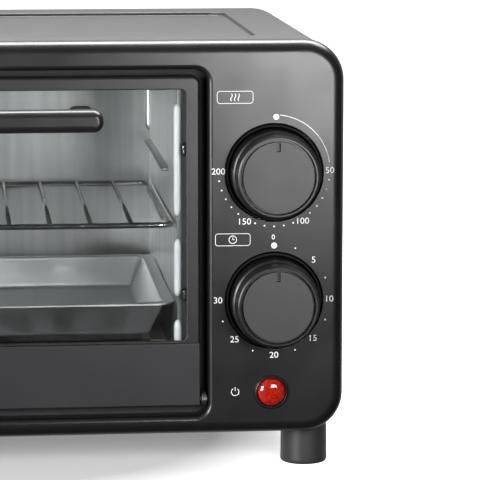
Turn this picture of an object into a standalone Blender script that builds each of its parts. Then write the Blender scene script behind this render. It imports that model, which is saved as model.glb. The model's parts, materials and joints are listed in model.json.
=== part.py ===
"""A countertop toaster oven with a drop-down glass door, two rotary controls and a pilot lamp.

The origin is on the table under the middle of the oven. +X is to the user's right, -Y is the front
and +Z is up. Pieces are laid out from the front face: a depth is measured behind that face.
"""

from math import cos, pi, radians, sin

import bmesh
import bpy
from mathutils import Vector

# Case
WIDTH = 0.360
CASE_HEIGHT = 0.198
CASE_DEPTH = 0.250
FOOT_HEIGHT = 0.021
CORNER_R = 0.020
EDGE_R = 0.0065
SHEET = 0.001
GAP = 0.0003
BEZEL_DEPTH = 0.011
BEZEL_WALL = 0.0015
SHELL_INSET = 0.0006
SPACER_LENGTH = 0.012

# Sunken panel in the top
TOP_PANEL_SIDE = 0.040
TOP_PANEL_START = 0.038
TOP_PANEL_REAR = 0.032
TOP_PANEL_SINK = 0.002
TOP_PANEL_R = 0.010

# Ventilation slots: those in the sides stand upright, those in the rear lie flat
SIDE_SLOT_COUNT = 8
SIDE_SLOT_PITCH = 0.010
SIDE_SLOT_START = 0.060
SIDE_SLOT_RISE = 0.110
SIDE_SLOT_LENGTH = 0.040
VENT_COLUMNS = 9
VENT_ROWS = 2
VENT_PITCH = 0.022
VENT_ROW_PITCH = 0.030
VENT_RISE = 0.120
VENT_LENGTH = 0.014
SLOT_WIDTH = 0.004

# Door and the recess it closes into
CONTROL_STRIP = 0.0685
RECESS_LEFT = 0.014
RECESS_TOP = 0.0141
RECESS_BOTTOM = 0.0096
RECESS_R = 0.0065
RECESS_EDGE_R = 0.0018
DOOR_SIDE_GAP = 0.004
DOOR_TOP_GAP = 0.0033
DOOR_BOTTOM_GAP = 0.0055
DOOR_THICKNESS = 0.009
DOOR_STILE = 0.0067
DOOR_RAIL = 0.0065
DOOR_R = 0.004
LOWER_PANEL_HEIGHT = 0.0320
LOWER_PANEL_THICKNESS = 0.0015
GLASS_THICKNESS = 0.003
GLASS_LAP = 0.0027
GLASS_FRONT = 0.0022
HINGE_RISE = 0.0026
PIN_R = 0.0018
PIN_CLEARANCE = 0.0003
PIN_LENGTH = 0.0145
LUG_THICKNESS = 0.0024
LUG_R = 0.0040
HANDLE_LENGTH = 0.172
HANDLE_REACH = 0.030
HANDLE_GRIP = 0.011
HANDLE_GRIP_DEPTH = 0.010
HANDLE_DROP = 0.0125
HANDLE_LEG = 0.012
HANDLE_LEG_INSET = 0.010
HANDLE_SCREW_R = 0.0018
HANDLE_SCREW_HOLE_R = 0.0022
CLIP_HEIGHT = 0.0066
CLIP_THICKNESS = 0.0016
CLIP_PLACES = {"upper": 0.758, "lower": 0.178}

# Cavity
CAVITY_SIDE = 0.0145
CAVITY_FLOOR_RISE = 0.0094
CAVITY_TOP_DROP = 0.0059
CAVITY_FRONT = 0.0126
REAR_SPACE = 0.040
CAVITY_BACK = CASE_DEPTH - REAR_SPACE
GUIDE_DEPTH = 0.0042
GUIDE_THICKNESS = 0.0026
GUIDE_START = 0.066
GUIDE_REAR_GAP = 0.012
GUIDE_END = CAVITY_BACK - GUIDE_REAR_GAP
GUIDE_HEIGHTS = (0.0625, 0.1019, 0.1278)
RACK_LEVEL = 1
TRAY_LEVEL = 0
ROD_R = 0.004
ROD_INSET = 0.0065
ROD_DEPTHS = (0.090, 0.165)
HOLDER_DEPTH = 0.0085
SHIELD_GAP = 0.0065

# Rack, tray and crumb tray
WIRE_R = 0.0015
SIDE_CLEARANCE = 0.0004
RACK_FRONT = 0.020
RACK_REAR_GAP = 0.018
RACK_DEPTH = CAVITY_BACK - RACK_REAR_GAP - RACK_FRONT
RACK_BARS = 11
TRAY_FRONT = 0.020
TRAY_DEPTH = 0.165
TRAY_HEIGHT = 0.018
TRAY_TAPER = 0.006
TRAY_RIM_OVER = 0.0013
TRAY_RIM = GUIDE_DEPTH + TRAY_RIM_OVER
TRAY_CORNER_R = 0.011
TRAY_WALL = 0.0012
CRUMB_LIP = 0.003
CRUMB_FRONT = 0.016
CRUMB_INSET = 0.006
CRUMB_PULL_INSET = 0.070
CRUMB_PULL_DROP = 0.009
CRUMB_PULL_RISE = 0.004
SLOT_CLEARANCE = 0.0015

# Controls. They are shared out up the case: each place is a share of its height
TEMP_PLACE = 0.6677
TIMER_PLACE = 0.3424
LAMP_PLACE = 0.1081
KNOB_OFFSET = 0.00115
KNOB_INSET = CONTROL_STRIP / 2 + KNOB_OFFSET
LAMP_INSET = 0.03675
DISH_R = 0.0242
DISH_DEPTH = 0.006
DISH_WALL = 0.0012
KNOB_CLEARANCE = 0.0024
SKIRT_R = DISH_R - KNOB_CLEARANCE
SKIRT_TOP = 0.010
SKIRT_STEP = 0.0016
CAP_R = SKIRT_R - SKIRT_STEP
CAP_TOP = 0.020
SHAFT_R = 0.003
SHAFT_CLEARANCE = 0.0003
BRACKET_DEPTH = 0.0140
BRACKET_MARGIN = 0.0033
THERMOSTAT_SIDE = 0.034
THERMOSTAT_LENGTH = 0.022
TIMER_SIDE = 0.050
TIMER_LENGTH = 0.034
BELL_R = 0.021
BELL_HEIGHT = 0.012
TERMINAL_HALF = 0.016
TERMINAL_DEPTH = 0.015
LAMP_RING_R = 0.00875
LAMP_SLEEVE_STEP = 0.0008
LAMP_R = 0.007
LAMP_BODY_END = 0.030

# Underside and rear
FOOT_R = 0.012
FOOT_SIDE_INSET = 0.0165
FOOT_DEPTH_INSET = 0.031
GLAND_R = 0.008
GLAND_WALL = 0.002
GLAND_BORE_R = 0.0035
GLAND_REACH = 0.006
GLAND_RISE = 0.040
SPACER_R = 0.010
SPACER_INSET = 0.0504
SPACER_DROP = 0.0554

# Where things are, from the sizes above
BASE = FOOT_HEIGHT
TOP = BASE + CASE_HEIGHT
SIDE = WIDTH / 2
FACE_Y = (HANDLE_REACH - CASE_DEPTH - SPACER_LENGTH) / 2
RECESS_X = (-SIDE + RECESS_LEFT, SIDE - CONTROL_STRIP)
RECESS_Z = (BASE + RECESS_BOTTOM, TOP - RECESS_TOP)
DOOR_X = (RECESS_X[0] + DOOR_SIDE_GAP, RECESS_X[1] - DOOR_SIDE_GAP)
DOOR_Z = (RECESS_Z[0] + DOOR_BOTTOM_GAP, RECESS_Z[1] - DOOR_TOP_GAP)
DOOR_MID = sum(DOOR_X) / 2
PANE_X = (DOOR_X[0] + DOOR_STILE, DOOR_X[1] - DOOR_STILE)
PANE_Z = (DOOR_Z[0] + LOWER_PANEL_HEIGHT + 0.001, DOOR_Z[1] - DOOR_RAIL)
HINGE_D = DOOR_THICKNESS / 2
HINGE_Z = DOOR_Z[0] + HINGE_RISE
CAVITY_X = (RECESS_X[0] + CAVITY_SIDE, RECESS_X[1] - CAVITY_SIDE)
CAVITY_Z = (RECESS_Z[0] + CAVITY_FLOOR_RISE, RECESS_Z[1] - CAVITY_TOP_DROP)
CAVITY_MID = sum(CAVITY_X) / 2
SHELL_D = (BEZEL_DEPTH + GAP, CASE_DEPTH - SHEET - GAP)
SHELL_X = SIDE - SHELL_INSET
SHELL_Z = (BASE + SHELL_INSET, TOP - SHELL_INSET)
RODS = {"top": CAVITY_Z[1] - ROD_INSET, "bottom": CAVITY_Z[0] + ROD_INSET + CRUMB_LIP}
KNOB_X = SIDE - KNOB_INSET
KNOB_Z = {"temp": BASE + TEMP_PLACE * CASE_HEIGHT, "timer": BASE + TIMER_PLACE * CASE_HEIGHT}
LAMP_X = SIDE - LAMP_INSET
LAMP_Z = BASE + LAMP_PLACE * CASE_HEIGHT
CRUMB_Z = (CAVITY_Z[0] + GAP, CAVITY_Z[0] + GAP + CRUMB_LIP)

# Finishes: colour, roughness, metallic
FINISHES = {
    "black_paint": ((0.045, 0.045, 0.047), 0.42, 0.0),
    "shell_paint": ((0.060, 0.060, 0.062), 0.48, 0.0),
    "black_plastic": ((0.030, 0.030, 0.031), 0.50, 0.0),
    "galvanised": ((0.62, 0.63, 0.64), 0.28, 1.0),
    "steel": ((0.55, 0.55, 0.56), 0.30, 1.0),
    "chrome": ((0.70, 0.70, 0.71), 0.12, 1.0),
    "glass": ((0.60, 0.62, 0.62), 0.05, 0.0),
    "red_lens": ((0.55, 0.02, 0.01), 0.10, 0.0),
    "ceramic": ((0.75, 0.73, 0.68), 0.60, 0.0),
    "heater": ((0.20, 0.19, 0.18), 0.45, 0.6),
    "rubber": ((0.025, 0.025, 0.025), 0.70, 0.0),
}


def clear_scene():
    for obj in list(bpy.data.objects):
        bpy.data.objects.remove(obj, do_unlink=True)


def collection(name):
    made = bpy.data.collections.new(name)
    bpy.context.scene.collection.children.link(made)
    return made


clear_scene()
PARTS = collection("toaster_oven")
CUTTERS = collection("cutters")


def empty(name, x, d, z, parent=None):
    """A frame to hang pieces on. Its place is given in the oven's own layout."""
    made = bpy.data.objects.new(name, None)
    made.location = (x, d, z)
    made.empty_display_size = 0.01
    made.parent = parent
    PARTS.objects.link(made)
    return made


OVEN = bpy.data.objects.new("oven_face", None)
OVEN.location = (0.0, FACE_Y, 0.0)
PARTS.objects.link(OVEN)


def painted(name, finish):
    colour, roughness, metallic = FINISHES[finish]
    made = bpy.data.materials.new(f"{name}_{finish}")
    made.use_nodes = True
    shader = made.node_tree.nodes["Principled BSDF"]
    shader.inputs["Base Color"].default_value = (*colour, 1.0)
    shader.inputs["Roughness"].default_value = roughness
    shader.inputs["Metallic"].default_value = metallic
    if finish == "glass":
        shader.inputs["Transmission Weight"].default_value = 0.9
    return made


def finish_piece(obj, finish, smooth=False):
    """A visible piece: material, shading and a place in the oven's collection."""
    for owner in list(obj.users_collection):
        owner.objects.unlink(obj)
    PARTS.objects.link(obj)
    obj.data.materials.clear()
    obj.data.materials.append(painted(obj.name, finish))
    if smooth:
        obj.data.shade_smooth()
        obj.data.set_sharp_from_angle(angle=radians(35))
    return obj


def hang(obj, joint):
    """Hangs a piece on the empty of its joint, without moving it."""
    obj.location = Vector(obj.location) - joint.location
    obj.parent = joint


def cutter(obj):
    for owner in list(obj.users_collection):
        owner.objects.unlink(obj)
    CUTTERS.objects.link(obj)
    obj.hide_render = True
    obj.display_type = "WIRE"
    return obj


def combine(obj, others, operation="DIFFERENCE"):
    """Cuts helper shapes from a piece, or joins them to it."""
    for other in others:
        cutter(other)
        modifier = obj.modifiers.new(other.name, "BOOLEAN")
        modifier.operation = operation
        modifier.solver = "EXACT"
        modifier.object = other
    return obj


def mesh_object(name, shape):
    mesh = bpy.data.meshes.new(name)
    shape.to_mesh(mesh)
    shape.free()
    return new_object(name, mesh)


def new_object(name, mesh):
    """An object laid out from the oven's front face."""
    made = bpy.data.objects.new(name, mesh)
    made.parent = OVEN
    CUTTERS.objects.link(made)
    return made


def box(name, x, d, z):
    """A block between two values along each axis."""
    low = Vector((x[0], d[0], z[0]))
    high = Vector((x[1], d[1], z[1]))
    shape = bmesh.new()
    bmesh.ops.create_cube(shape, size=1.0)
    bmesh.ops.scale(shape, vec=high - low, verts=shape.verts)
    bmesh.ops.translate(shape, vec=(low + high) / 2, verts=shape.verts)
    return mesh_object(name, shape)


def rod(name, start, end, radius, sides=16):
    """A straight round rod between two points."""
    start, end = Vector(start), Vector(end)
    shape = bmesh.new()
    bmesh.ops.create_cone(
        shape, cap_ends=True, segments=sides, radius1=radius, radius2=radius,
        depth=(end - start).length,
    )
    turn = (end - start).to_track_quat("Z", "Y").to_matrix()
    bmesh.ops.rotate(shape, matrix=turn, verts=shape.verts)
    bmesh.ops.translate(shape, vec=(start + end) / 2, verts=shape.verts)
    return mesh_object(name, shape)


def mesh_from_curve(name, curve, rotation=(0.0, 0.0, 0.0), place=(0.0, 0.0, 0.0)):
    """The welded mesh of a curve."""
    source = bpy.data.objects.new(name, curve)
    CUTTERS.objects.link(source)
    graph = bpy.context.evaluated_depsgraph_get()
    mesh = bpy.data.meshes.new_from_object(source.evaluated_get(graph))
    bpy.data.objects.remove(source)
    shape = bmesh.new()
    shape.from_mesh(mesh)
    bmesh.ops.remove_doubles(shape, verts=shape.verts, dist=1e-6)
    bmesh.ops.recalc_face_normals(shape, faces=shape.faces)
    shape.to_mesh(mesh)
    shape.free()
    made = new_object(name, mesh)
    made.rotation_euler = rotation
    made.location = place
    return made


def flat_plate(name, outlines, thickness, rotation, place):
    """A flat plate from 2D outlines. Those inside another are holes."""
    curve = bpy.data.curves.new(name, "CURVE")
    curve.dimensions = "2D"
    curve.fill_mode = "BOTH"
    curve.extrude = thickness / 2
    for outline in outlines:
        spline = curve.splines.new("POLY")
        spline.points.add(len(outline) - 1)
        for point, (x, y) in zip(spline.points, outline):
            point.co = (x, y, 0.0, 1.0)
        spline.use_cyclic_u = True
    return mesh_from_curve(name, curve, rotation, place)


def upright_plate(name, outlines, d):
    """A plate facing the front, from outlines in X and Z, between two depths."""
    place = (0.0, (d[0] + d[1]) / 2, 0.0)
    return flat_plate(name, outlines, d[1] - d[0], (pi / 2, 0.0, 0.0), place)


def level_plate(name, outlines, z):
    """A plate lying level, from outlines in X and depth, between two heights."""
    place = (0.0, 0.0, (z[0] + z[1]) / 2)
    return flat_plate(name, outlines, z[1] - z[0], (0.0, 0.0, 0.0), place)


def wire(name, points, radius, closed=False):
    """A bent wire through its points."""
    curve = bpy.data.curves.new(name, "CURVE")
    curve.dimensions = "3D"
    curve.bevel_depth = radius
    curve.bevel_resolution = 1
    curve.use_fill_caps = not closed
    spline = curve.splines.new("POLY")
    spline.points.add(len(points) - 1)
    for point, place in zip(spline.points, points):
        point.co = (*place, 1.0)
    spline.use_cyclic_u = closed
    return mesh_from_curve(name, curve)


def rounded(x, y, r, steps=5):
    """The outline of a rectangle with round corners, one radius or four from the low corner round."""
    radii = r if isinstance(r, tuple) else (r,) * 4
    corners = ((x[0], y[0], 180), (x[1], y[0], 270), (x[1], y[1], 0), (x[0], y[1], 90))
    points = []
    for (cx, cy, start), radius in zip(corners, radii):
        mx = cx + (radius if cx == x[0] else -radius)
        my = cy + (radius if cy == y[0] else -radius)
        for step in range(steps + 1):
            angle = radians(start + 90 * step / steps)
            points.append((mx + radius * cos(angle), my + radius * sin(angle)))
    return points


def circle(x, y, r, steps=32):
    turns = [2 * pi * step / steps for step in range(steps)]
    return [(x + r * cos(turn), y + r * sin(turn)) for turn in turns]


def grown(span, by):
    """A span made longer at both ends, or shorter when the value is negative."""
    return (span[0] - by, span[1] + by)


def turned(name, place, profile, closed=False, rotation=(pi / 2, 0.0, 0.0), steps=28):
    """A turned piece from (radius, height) points. Its axis points forward unless turned."""
    mesh = bpy.data.meshes.new(name)
    count = len(profile)
    edges = [(i, (i + 1) % count) for i in range(count if closed else count - 1)]
    mesh.from_pydata([(r, 0.0, h) for r, h in profile], edges, [])
    made = new_object(name, mesh)
    screw = made.modifiers.new("turn", "SCREW")
    screw.axis = "Z"
    screw.steps = steps
    screw.render_steps = steps
    screw.use_merge_vertices = True
    screw.merge_threshold = 1e-5
    screw.use_smooth_shade = True
    made.rotation_euler = rotation
    made.location = place
    return made


def baked(obj):
    """The piece with its modifiers made part of its mesh."""
    graph = bpy.context.evaluated_depsgraph_get()
    mesh = bpy.data.meshes.new_from_object(obj.evaluated_get(graph))
    obj.modifiers.clear()
    obj.data = mesh
    return obj


def round_front(obj, width):
    """Rounds the front rim of an upright plate."""
    shape = bmesh.new()
    shape.from_mesh(obj.data)
    bmesh.ops.dissolve_limit(shape, angle_limit=0.01, verts=shape.verts, edges=shape.edges)
    layer = shape.edges.layers.float.new("bevel_weight_edge")
    front = max(v.co.z for v in shape.verts)
    for edge in shape.edges:
        edge[layer] = float(min(v.co.z for v in edge.verts) > front - 1e-5)
    shape.to_mesh(obj.data)
    shape.free()
    modifier = obj.modifiers.new("rounding", "BEVEL")
    modifier.limit_method = "WEIGHT"
    modifier.width = width
    modifier.segments = 4
    return obj


def flared(name, x, z, r, stages):
    """A solid through rounded outlines, each given by its depth and how far it is grown."""
    shape = bmesh.new()
    for d, by in stages:
        for px, pz in rounded(grown(x, by), grown(z, by), r + by):
            shape.verts.new((px, d, pz))
    bmesh.ops.convex_hull(shape, input=shape.verts)
    bmesh.ops.recalc_face_normals(shape, faces=shape.faces)
    return mesh_object(name, shape)


# Case


def front_bezel():
    """A pressed panel: rounded rim, a recess for the door and round holes for the controls."""
    bezel = upright_plate("front_bezel", [rounded((-SIDE, SIDE), (BASE, TOP), CORNER_R, 8)],
                          (0.0, BEZEL_DEPTH))
    round_front(bezel, EDGE_R)
    inner_x, inner_z = grown((-SIDE, SIDE), -BEZEL_WALL), grown((BASE, TOP), -BEZEL_WALL)
    hollow = upright_plate("bezel_hollow", [rounded(inner_x, inner_z, CORNER_R - BEZEL_WALL, 8)],
                           (BEZEL_WALL, BEZEL_DEPTH + 0.002))
    round_front(hollow, EDGE_R - BEZEL_WALL)
    keep = flared("recess_wall", RECESS_X, RECESS_Z, RECESS_R,
                  [(-0.001, BEZEL_WALL), (BEZEL_DEPTH + 0.004, BEZEL_WALL)])
    combine(hollow, [keep])
    edge = RECESS_EDGE_R
    recess = flared("recess", RECESS_X, RECESS_Z, RECESS_R, [(-0.001, 0.0), (BEZEL_DEPTH + 0.001, 0.0)])
    outer_flare = flared("recess_outer_flare", RECESS_X, RECESS_Z, RECESS_R,
                         [(-0.2 * edge, 1.2 * edge), (0.3 * edge, 0.3 * edge)])
    inner_flare = flared("recess_inner_flare", RECESS_X, RECESS_Z, RECESS_R,
                         [(0.2 * edge, 0.4 * edge), (edge, 0.0)])
    holes = [
        rod(f"{name}_hole", (KNOB_X, -0.001, z), (KNOB_X, 0.004, z), DISH_R + GAP, 32)
        for name, z in KNOB_Z.items()
    ]
    holes.append(rod("lamp_hole", (LAMP_X, -0.001, LAMP_Z), (LAMP_X, 0.004, LAMP_Z),
                     LAMP_RING_R - LAMP_SLEEVE_STEP + GAP, 24))
    combine(bezel, [baked(hollow), recess, outer_flare, inner_flare, *holes])
    return finish_piece(bezel, "black_paint", smooth=True)


def side_slots(name, x):
    """A row of upright ventilation slots through a side wall."""
    z = (BASE + SIDE_SLOT_RISE, BASE + SIDE_SLOT_RISE + SIDE_SLOT_LENGTH)
    slots = []
    for i in range(SIDE_SLOT_COUNT):
        start = SIDE_SLOT_START + i * SIDE_SLOT_PITCH
        slots.append(box(f"{name}_{i}", grown((x, x), 0.004), (start, start + SLOT_WIDTH), z))
    return slots


def outer_shell():
    span = (-SHELL_X, SHELL_X)
    shell = upright_plate("outer_shell", [rounded(span, SHELL_Z, CORNER_R, 7)], SHELL_D)
    inside = rounded(grown(span, -SHEET), grown(SHELL_Z, -SHEET), CORNER_R - SHEET, 7)
    hollow = upright_plate("shell_hollow", [inside], grown(SHELL_D, 0.002))
    panel_d = (TOP_PANEL_START, CASE_DEPTH - TOP_PANEL_REAR)
    panel_x = grown((-SIDE, SIDE), -TOP_PANEL_SIDE)
    sink = level_plate("panel_sink", [rounded(panel_x, panel_d, TOP_PANEL_R)],
                       (SHELL_Z[1] - TOP_PANEL_SINK, SHELL_Z[1] + 0.004))
    around = rounded(grown(panel_x, SHEET), grown(panel_d, SHEET), TOP_PANEL_R + SHEET)
    boss = level_plate("panel_boss", [around],
                       (SHELL_Z[1] - TOP_PANEL_SINK - SHEET, SHELL_Z[1] + 0.002))
    combine(hollow, [boss])
    floor_cut = box("shell_floor_cut", grown(span, -0.035), grown(SHELL_D, 0.002),
                    (SHELL_Z[0] - 0.002, SHELL_Z[0] + 0.006))
    combine(shell, [baked(hollow), sink, floor_cut])
    combine(shell, side_slots("slot_right", SHELL_X) + side_slots("slot_left", -SHELL_X))
    return finish_piece(shell, "shell_paint", smooth=True)


def rear_vents():
    vents = []
    for column in range(VENT_COLUMNS):
        for row in range(VENT_ROWS):
            x = CAVITY_MID + (column - (VENT_COLUMNS - 1) / 2) * VENT_PITCH
            z = BASE + VENT_RISE + row * VENT_ROW_PITCH
            vents.append(rounded(grown((x, x), VENT_LENGTH / 2), (z, z + SLOT_WIDTH), 0.0018, 2))
    return vents


def rear_panel():
    span = (-SHELL_X, SHELL_X)
    outline = rounded(span, SHELL_Z, CORNER_R, 7)
    crumb = rounded(crumb_slot_x(), grown(CRUMB_Z, SLOT_CLEARANCE), 0.0005, 1)
    gland = circle(KNOB_X, BASE + GLAND_RISE, GLAND_R - GLAND_WALL + GAP, 20)
    plate = upright_plate("rear_panel", [outline, crumb, gland, *rear_vents()],
                          (CASE_DEPTH - SHEET, CASE_DEPTH))
    return finish_piece(plate, "shell_paint")


def base_plate():
    """The bottom sheet, with an upright flange along each side to fix it to the shell."""
    inner = (-SHELL_X + SHEET + GAP, SHELL_X - SHEET - GAP)
    x = grown(inner, SHEET - CORNER_R)
    d = grown(SHELL_D, -0.002)
    z = (SHELL_Z[0] + SHEET + GAP, SHELL_Z[0] + 2 * SHEET + GAP)
    plate = level_plate("base_plate", [rounded(x, d, 0.003, 3)], z)
    return finish_piece(plate, "galvanised")


def foot_profile():
    height = BASE + CORNER_R * 0.6
    return [
        (0.0, height), (FOOT_R * 0.95, height), (FOOT_R, 0.0015), (FOOT_R - 0.0004, 0.0004),
        (FOOT_R - 0.0015, 0.0), (0.0, 0.0),
    ]


def feet():
    """Four turned feet, each shaped at the top to the shell's round lower edge."""
    depths = {"front": FOOT_DEPTH_INSET, "rear": CASE_DEPTH - FOOT_DEPTH_INSET}
    around = rounded(grown((-SHELL_X, SHELL_X), GAP), grown(SHELL_Z, GAP), CORNER_R + GAP, 7)
    for row, d in depths.items():
        for name, side in (("left", -1), ("right", 1)):
            place = (side * (SIDE - FOOT_SIDE_INSET), d, 0.0)
            foot = turned(f"foot_{row}_{name}", place, foot_profile(), rotation=(0.0, 0.0, 0.0), steps=24)
            baked(foot)
            combine(foot, [upright_plate(f"case_over_{row}_{name}", [around], (0.0, CASE_DEPTH))])
            finish_piece(foot, "rubber", smooth=True)


def spacer_profile():
    reach = SPACER_LENGTH - GAP
    return [(0.0, reach), (SPACER_R - 0.002, reach), (SPACER_R - 0.001, reach - 0.0012),
            (SPACER_R, 0.0), (0.0, 0.0)]


def gland_profile():
    neck = GLAND_R - GLAND_WALL
    return [(neck, GLAND_REACH), (GLAND_R, GLAND_REACH - 0.002), (GLAND_R, 0.0), (neck, 0.0),
            (neck, -GLAND_REACH), (GLAND_BORE_R, -GLAND_REACH), (GLAND_BORE_R, GLAND_REACH)]


def rear_fittings():
    """Two spacers that keep the oven off the wall, and the gland for a power cord."""
    backward = (-pi / 2, 0.0, 0.0)
    back = CASE_DEPTH + GAP
    height = TOP - SPACER_DROP
    for name, side in (("left", -1), ("right", 1)):
        place = (side * (SIDE - SPACER_INSET), back, height)
        spacer = turned(f"rear_spacer_{name}", place, spacer_profile(), rotation=backward, steps=20)
        finish_piece(spacer, "rubber")
    gland = turned("cord_gland", (KNOB_X, back, BASE + GLAND_RISE), gland_profile(), closed=True,
                   rotation=backward, steps=20)
    finish_piece(gland, "rubber")


# Cavity


def cavity_front_frame():
    outer = rounded(grown(RECESS_X, 0.005), grown(RECESS_Z, 0.005), RECESS_R)
    opening = rounded(CAVITY_X, CAVITY_Z, 0.004, 3)
    frame = upright_plate("cavity_front_frame", [outer, opening], (BEZEL_DEPTH + GAP, CAVITY_FRONT - GAP))
    return finish_piece(frame, "black_paint")


def cavity_side(name, inner, outward):
    """A side wall with a rack guide pressed into it at each level."""
    x = sorted((inner, inner + outward * SHEET))
    wall = box(name, x, (CAVITY_FRONT, CAVITY_BACK - GAP), CAVITY_Z)
    guides = []
    for level in range(len(GUIDE_HEIGHTS)):
        z = (guide_top(level) - GUIDE_THICKNESS, guide_top(level))
        span = sorted((inner - outward * GUIDE_DEPTH, inner + outward * SHEET / 2))
        guides.append(box(f"{name}_guide_{level}", span, (GUIDE_START, GUIDE_END), z))
    combine(wall, guides, "UNION")
    return finish_piece(wall, "galvanised")


def guide_top(level):
    return BASE + GUIDE_HEIGHTS[level]


def cavity():
    cavity_front_frame()
    cavity_side("cavity_left_wall", CAVITY_X[0], -1)
    cavity_side("cavity_right_wall", CAVITY_X[1], 1)
    across = grown(CAVITY_X, SHEET + 0.004)
    d = (CAVITY_FRONT, CAVITY_BACK - GAP)
    ceiling = box("cavity_ceiling", across, d, (CAVITY_Z[1] + GAP, CAVITY_Z[1] + GAP + SHEET))
    floor = box("cavity_floor", across, d, (CAVITY_Z[0] - GAP - SHEET, CAVITY_Z[0] - GAP))
    back_z = (CRUMB_Z[1] + SLOT_CLEARANCE, CAVITY_Z[1] + GAP + SHEET)
    back = box("cavity_back", across, (CAVITY_BACK, CAVITY_BACK + SHEET), back_z)
    for plate in (ceiling, floor, back):
        finish_piece(plate, "galvanised")
    shield_x = CAVITY_X[1] + SHIELD_GAP
    shield = box("heat_shield", (shield_x, shield_x + SHEET), d, CAVITY_Z)
    finish_piece(shield, "galvanised")


def heaters():
    """Four sheathed rods across the cavity, ending in a ceramic holder in each side wall."""
    ends = grown(CAVITY_X, -0.006)
    for level, z in RODS.items():
        for name, d in zip(("front", "rear"), ROD_DEPTHS):
            piece = rod(f"heater_{level}_{name}", (ends[0], d, z), (ends[1], d, z), ROD_R, 12)
            finish_piece(piece, "heater", smooth=True)
        heater_holder(f"{level}_left", CAVITY_X[0], 1, z)
        heater_holder(f"{level}_right", CAVITY_X[1], -1, z)


def heater_holder(name, wall, inward, z):
    """A ceramic bar on a side wall, with a blind bore for the end of each rod."""
    half = min(ROD_R + 0.0025, ROD_INSET - 0.0008)
    x = sorted((wall + inward * GAP, wall + inward * HOLDER_DEPTH))
    holder = box(f"heater_holder_{name}", x, grown(ROD_DEPTHS, 0.009), (z - half, z + half))
    bores = [
        rod(f"bore_{name}_{i}", (wall + inward * 0.0045, d, z), (wall + inward * 0.02, d, z), ROD_R + GAP, 12)
        for i, d in enumerate(ROD_DEPTHS)
    ]
    combine(holder, bores)
    finish_piece(holder, "ceramic")


# Rack, tray and crumb tray


def wire_rack():
    half = (CAVITY_X[1] - CAVITY_X[0]) / 2 - SIDE_CLEARANCE - WIRE_R
    z = guide_top(RACK_LEVEL) + GAP + WIRE_R
    x = (CAVITY_MID - half, CAVITY_MID + half)
    d = (RACK_FRONT, RACK_FRONT + RACK_DEPTH - 2 * WIRE_R)
    border = [(px, pd, z) for px, pd in rounded(x, d, 0.008, 3)]
    rack = wire("wire_rack", border, WIRE_R, closed=True)
    bar_z = z + WIRE_R * 0.4
    bars = []
    for i in range(RACK_BARS):
        bx = x[0] + (x[1] - x[0]) * (i + 1) / (RACK_BARS + 1)
        bars.append(rod(f"rack_bar_{i}", (bx, d[0], bar_z), (bx, d[1], bar_z), WIRE_R * 0.8, 8))
    combine(rack, bars, "UNION")
    return finish_piece(rack, "chrome", smooth=True)


def baking_tray():
    """A pan with sloping sides and a flat rim that runs on the guides."""
    top = guide_top(TRAY_LEVEL) + GAP + TRAY_WALL
    half = (CAVITY_X[1] - CAVITY_X[0]) / 2 - SIDE_CLEARANCE
    x = (CAVITY_MID - half, CAVITY_MID + half)
    d = (TRAY_FRONT, TRAY_FRONT + TRAY_DEPTH)
    rim = level_plate("baking_tray", [rounded(x, d, TRAY_CORNER_R, 6)], (top - TRAY_WALL, top))
    pan_x, pan_d = grown(x, -TRAY_RIM), grown(d, -TRAY_RIM)
    pan = tapered("tray_pan", pan_x, pan_d, (top - TRAY_HEIGHT, top - TRAY_WALL / 2))
    dish = tapered("tray_dish", grown(pan_x, -TRAY_WALL), grown(pan_d, -TRAY_WALL),
                   (top - TRAY_HEIGHT + TRAY_WALL, top + 0.001))
    combine(rim, [pan], "UNION")
    combine(rim, [dish])
    return finish_piece(rim, "steel")


def tapered(name, x, d, z):
    """A block with round corners whose sides slope in towards the bottom."""
    block = level_plate(name, [rounded(x, d, TRAY_CORNER_R - TRAY_RIM, 6)], z)
    middle_x, middle_d = sum(x) / 2, sum(d) / 2
    for vertex in block.data.vertices:
        if vertex.co.z < 0:
            vertex.co.x = middle_x + (vertex.co.x - middle_x) * (1 - 2 * TRAY_TAPER / (x[1] - x[0]))
            vertex.co.y = middle_d + (vertex.co.y - middle_d) * (1 - 2 * TRAY_TAPER / (d[1] - d[0]))
    return block


def crumb_slot_x():
    return grown(CAVITY_X, SLOT_CLEARANCE - CRUMB_INSET)


def crumb_tray():
    """A sheet on the cavity floor that draws out through the rear panel by its folded pull."""
    x, z = grown(CAVITY_X, -CRUMB_INSET), CRUMB_Z
    end = (CASE_DEPTH + GAP, CASE_DEPTH + GAP + SHEET)
    sides = (CRUMB_FRONT, CAVITY_BACK - 0.004)
    pull_z = (z[0] - CRUMB_PULL_DROP, z[1] + CRUMB_PULL_RISE)
    sheet = box("crumb_tray", x, (CRUMB_FRONT, end[1]), (z[0], z[0] + SHEET))
    lips = [
        box("crumb_lip_front", x, (CRUMB_FRONT, CRUMB_FRONT + SHEET), z),
        box("crumb_lip_left", (x[0], x[0] + SHEET), sides, z),
        box("crumb_lip_right", (x[1] - SHEET, x[1]), sides, z),
        box("crumb_pull", grown(x, -CRUMB_PULL_INSET), end, pull_z),
    ]
    combine(sheet, lips, "UNION")
    return finish_piece(sheet, "galvanised")


# Door


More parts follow.
